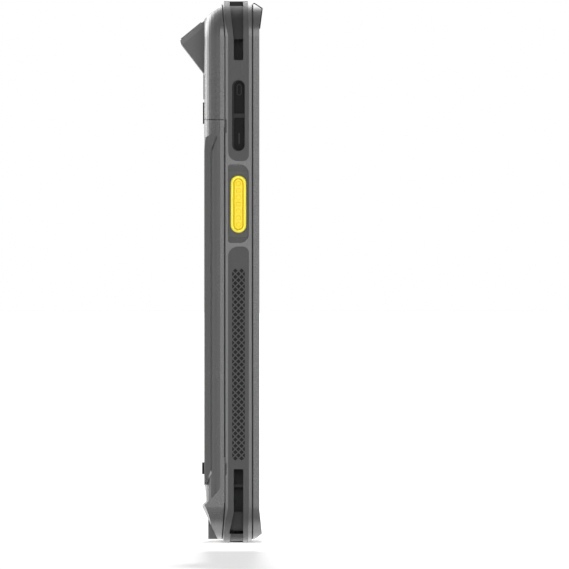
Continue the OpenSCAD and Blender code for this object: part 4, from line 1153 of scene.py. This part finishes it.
@dataclass
class Studio:
    """Floor, white surroundings, lamp and the camera of the side view.

    Attributes:
        lens_mm: Focal length, so long that the view is nearly parallel.
        sensor_mm: Width of the sensor.
        side_plane: X of the plane on which the picture has the photograph's scale.
        picture_y: Y at the middle of the picture.
        picture_z: Z at the middle of the picture.
        aim_y: Y at which the camera stands.
        clip: Nearest and farthest distance that the camera sees.
        floor_half: Half width of the floor.
        light_stops: Levels of the soft light, by direction from 0 at +X to 1 at -X.
        gloss_stops: Levels that reflections show, by direction likewise.
        sun: Lamp that throws the shadow.
        floor_tone: Tone of the floor for bounced light and for the camera.
        floor_rough: Roughness of the floor.
        floor_bright: Glow that only reflections see on the floor near the object, a painted reflection
            on the object's lower faces.
        floor_dim: Level that reflections show of the floor farther off.
        near_edge: Distances from the middle plane over which the floor turns bright in reflections.
        floor_glow: Light that only the camera sees added to the floor round and beyond the object,
            painted light that hides the object's contact shadow there.
        glow_edge: X range over which that light comes in.
    """

    lens_mm: float = 1500.0
    sensor_mm: float = 36.0
    side_plane: float = -40 * MM
    picture_y: float = -15.19 * MM
    picture_z: float = 80.04 * MM
    aim_y: float = 1.0 * MM
    clip: Span = (0.1, 200.0)
    floor_half: float = 60.0
    light_stops: Pairs = (
        (0.0, 1.0), (0.30, 0.8), (0.36, 1.4), (0.64, 1.4), (0.70, 0.15), (0.935, 0.15), (0.965, 5.0))
    gloss_stops: Pairs = (
        (0.0, 1.0), (0.07, 1.0), (0.13, 8.0), (0.28, 10.0), (0.38, 3.0),
        (0.47, 1.1), (0.57, 0.8), (0.68, 0.2), (0.93, 0.15), (0.965, 5.0))
    sun: SoftSun = SoftSun("back_sun", azimuth=0.0, elevation=13.5, level=1.55, spread=1.0)
    floor_tone: Span = (0.75, 0.78)
    floor_rough: float = 0.9
    floor_bright: float = 4.0
    floor_dim: float = 0.3
    near_edge: Span = (48 * MM, 38 * MM)
    floor_glow: float = 0.35
    glow_edge: Span = (-320 * MM, -220 * MM)

    def sky(self, tree: NodeTree, share: NodeSocket, stops: Pairs) -> NodeSocket:
        """Lays levels of light out from +X to -X.

        Args:
            tree: Tree of the world.
            share: Direction as a share, 0 at +X and 1 at -X.
            stops: Shares with their levels.

        Returns:
            The level.
        """
        top = max(level for _, level in stops)
        ramp = tree.nodes.new("ShaderNodeValToRGB")
        ramp.color_ramp.interpolation = "EASE"
        marks = ramp.color_ramp.elements
        while len(marks) < len(stops):
            marks.new(0.5)
        for mark, (place, level) in zip(marks, stops):
            mark.position = place
            mark.color = (level / top, level / top, level / top, 1)
        wire(tree, share, ramp.inputs["Fac"])
        return value_node(tree, "MULTIPLY", ramp.outputs["Color"], top)

    def world(self) -> None:
        """Makes the surroundings: white to the camera, with other levels for light and reflections."""
        world = bpy.data.worlds.new("surroundings")
        bpy.context.scene.world = world
        world.use_nodes = True
        tree = world.node_tree
        tree.nodes.clear()
        out = tree.nodes.new("ShaderNodeOutputWorld")
        shade = tree.nodes.new("ShaderNodeBackground")
        shade.inputs["Color"].default_value = (1, 1, 1, 1)
        towards = axes(tree, tree.nodes.new("ShaderNodeTexCoord").outputs["Generated"])
        share = value_node(tree, "MULTIPLY_ADD", towards["X"], -0.5, 0.5)
        ray = tree.nodes.new("ShaderNodeLightPath")
        level = self.sky(tree, share, self.light_stops)
        others = {"Is Glossy Ray": self.sky(tree, share, self.gloss_stops), "Is Camera Ray": 1.0}
        for mask, other in others.items():
            mix = tree.nodes.new("ShaderNodeMix")
            wire(tree, ray.outputs[mask], mix.inputs[0])
            wire(tree, level, mix.inputs[2])
            feed(tree, other, mix.inputs[3])
            level = mix.outputs[0]
        wire(tree, level, shade.inputs["Strength"])
        wire(tree, shade.outputs[0], out.inputs["Surface"])

    def floor_finish(self) -> Material:
        """Builds the floor's material, white to the camera where no shadow falls and round the object,
        where painted light hides its contact shadow.

        Returns:
            The material.
        """
        sheet = Sheet("floor")
        tree = sheet.tree
        ray = tree.nodes.new("ShaderNodeLightPath")
        bounced, seen = [(tone, tone, tone) for tone in self.floor_tone]
        sheet.blend(ray.outputs["Is Camera Ray"], bounced, seen)
        x = axes(tree, sheet.place)["X"]
        # Painted reflection: a glow that only glossy rays see, bright on the floor near the object.
        near = sheet.step(magnitude(tree, x), *self.near_edge)
        extra = self.floor_bright - self.floor_dim
        bright = value_node(tree, "MULTIPLY_ADD", near, extra, self.floor_dim)
        # Painted light: a glow that only the camera sees lifts the floor near and behind the object and
        # hides its contact shadow.
        clear = value_node(tree, "MULTIPLY", sheet.step(x, *self.glow_edge), self.floor_glow)
        shine = value_node(tree, "MULTIPLY", ray.outputs["Is Glossy Ray"], bright)
        lift = value_node(tree, "MULTIPLY", ray.outputs["Is Camera Ray"], clear)
        glow = tree.nodes.new("ShaderNodeEmission")
        wire(tree, value_node(tree, "ADD", shine, lift), glow.inputs["Strength"])
        both = tree.nodes.new("ShaderNodeAddShader")
        for target, shader in zip(both.inputs, (sheet.bsdf, glow)):
            wire(tree, shader.outputs[0], target)
        wire(tree, both.outputs[0], tree.nodes["Material Output"].inputs["Surface"])
        return sheet.finished(Roughness=self.floor_rough, Specular_IOR_Level=0.0)

    def floor(self) -> Object:
        """Makes the pale floor.

        Returns:
            The floor.
        """
        builder = bmesh.new()
        corners = [builder.verts.new((x * self.floor_half, y * self.floor_half, 0))
                   for x, y in ((-1, -1), (1, -1), (1, 1), (-1, 1))]
        builder.faces.new(corners)
        mesh = bpy.data.meshes.new("floor")
        builder.to_mesh(mesh)
        builder.free()
        plane = bpy.data.objects.new("floor", mesh)
        bpy.context.scene.collection.objects.link(plane)
        plane.data.materials.append(self.floor_finish())
        return plane

    def camera(self) -> None:
        """Makes the level camera that looks at the left side, framed as the photograph is."""
        frame_width = PHOTO_PIXELS * MM_PER_PIXEL * MM
        reach = self.lens_mm * frame_width / self.sensor_mm
        data = bpy.data.cameras.new("side_view")
        data.lens = self.lens_mm
        data.sensor_width = self.sensor_mm
        data.shift_x = (self.aim_y - self.picture_y) / frame_width
        data.clip_start, data.clip_end = self.clip
        camera = bpy.data.objects.new("side_view", data)
        camera.location = (self.side_plane - reach, self.aim_y, self.picture_z)
        camera.rotation_euler = (math.radians(90), 0, math.radians(-90))
        bpy.context.scene.collection.objects.link(camera)
        bpy.context.scene.camera = camera

    def build(self) -> None:
        """Sets up the whole studio."""
        self.world()
        self.sun.hang(self.floor())
        self.camera()
        bpy.context.scene.view_settings.view_transform = "Standard"


def main() -> None:
    """Builds the studio and every sub-assembly in order."""
    logging.basicConfig(level=logging.INFO, format="%(name)s: %(message)s")
    Studio().build()
    for assembly in (FrontHalf(), FrameRing(), Controls(), RearShell(), Battery()):
        assembly.build()


if __name__ == "__main__":
    main()
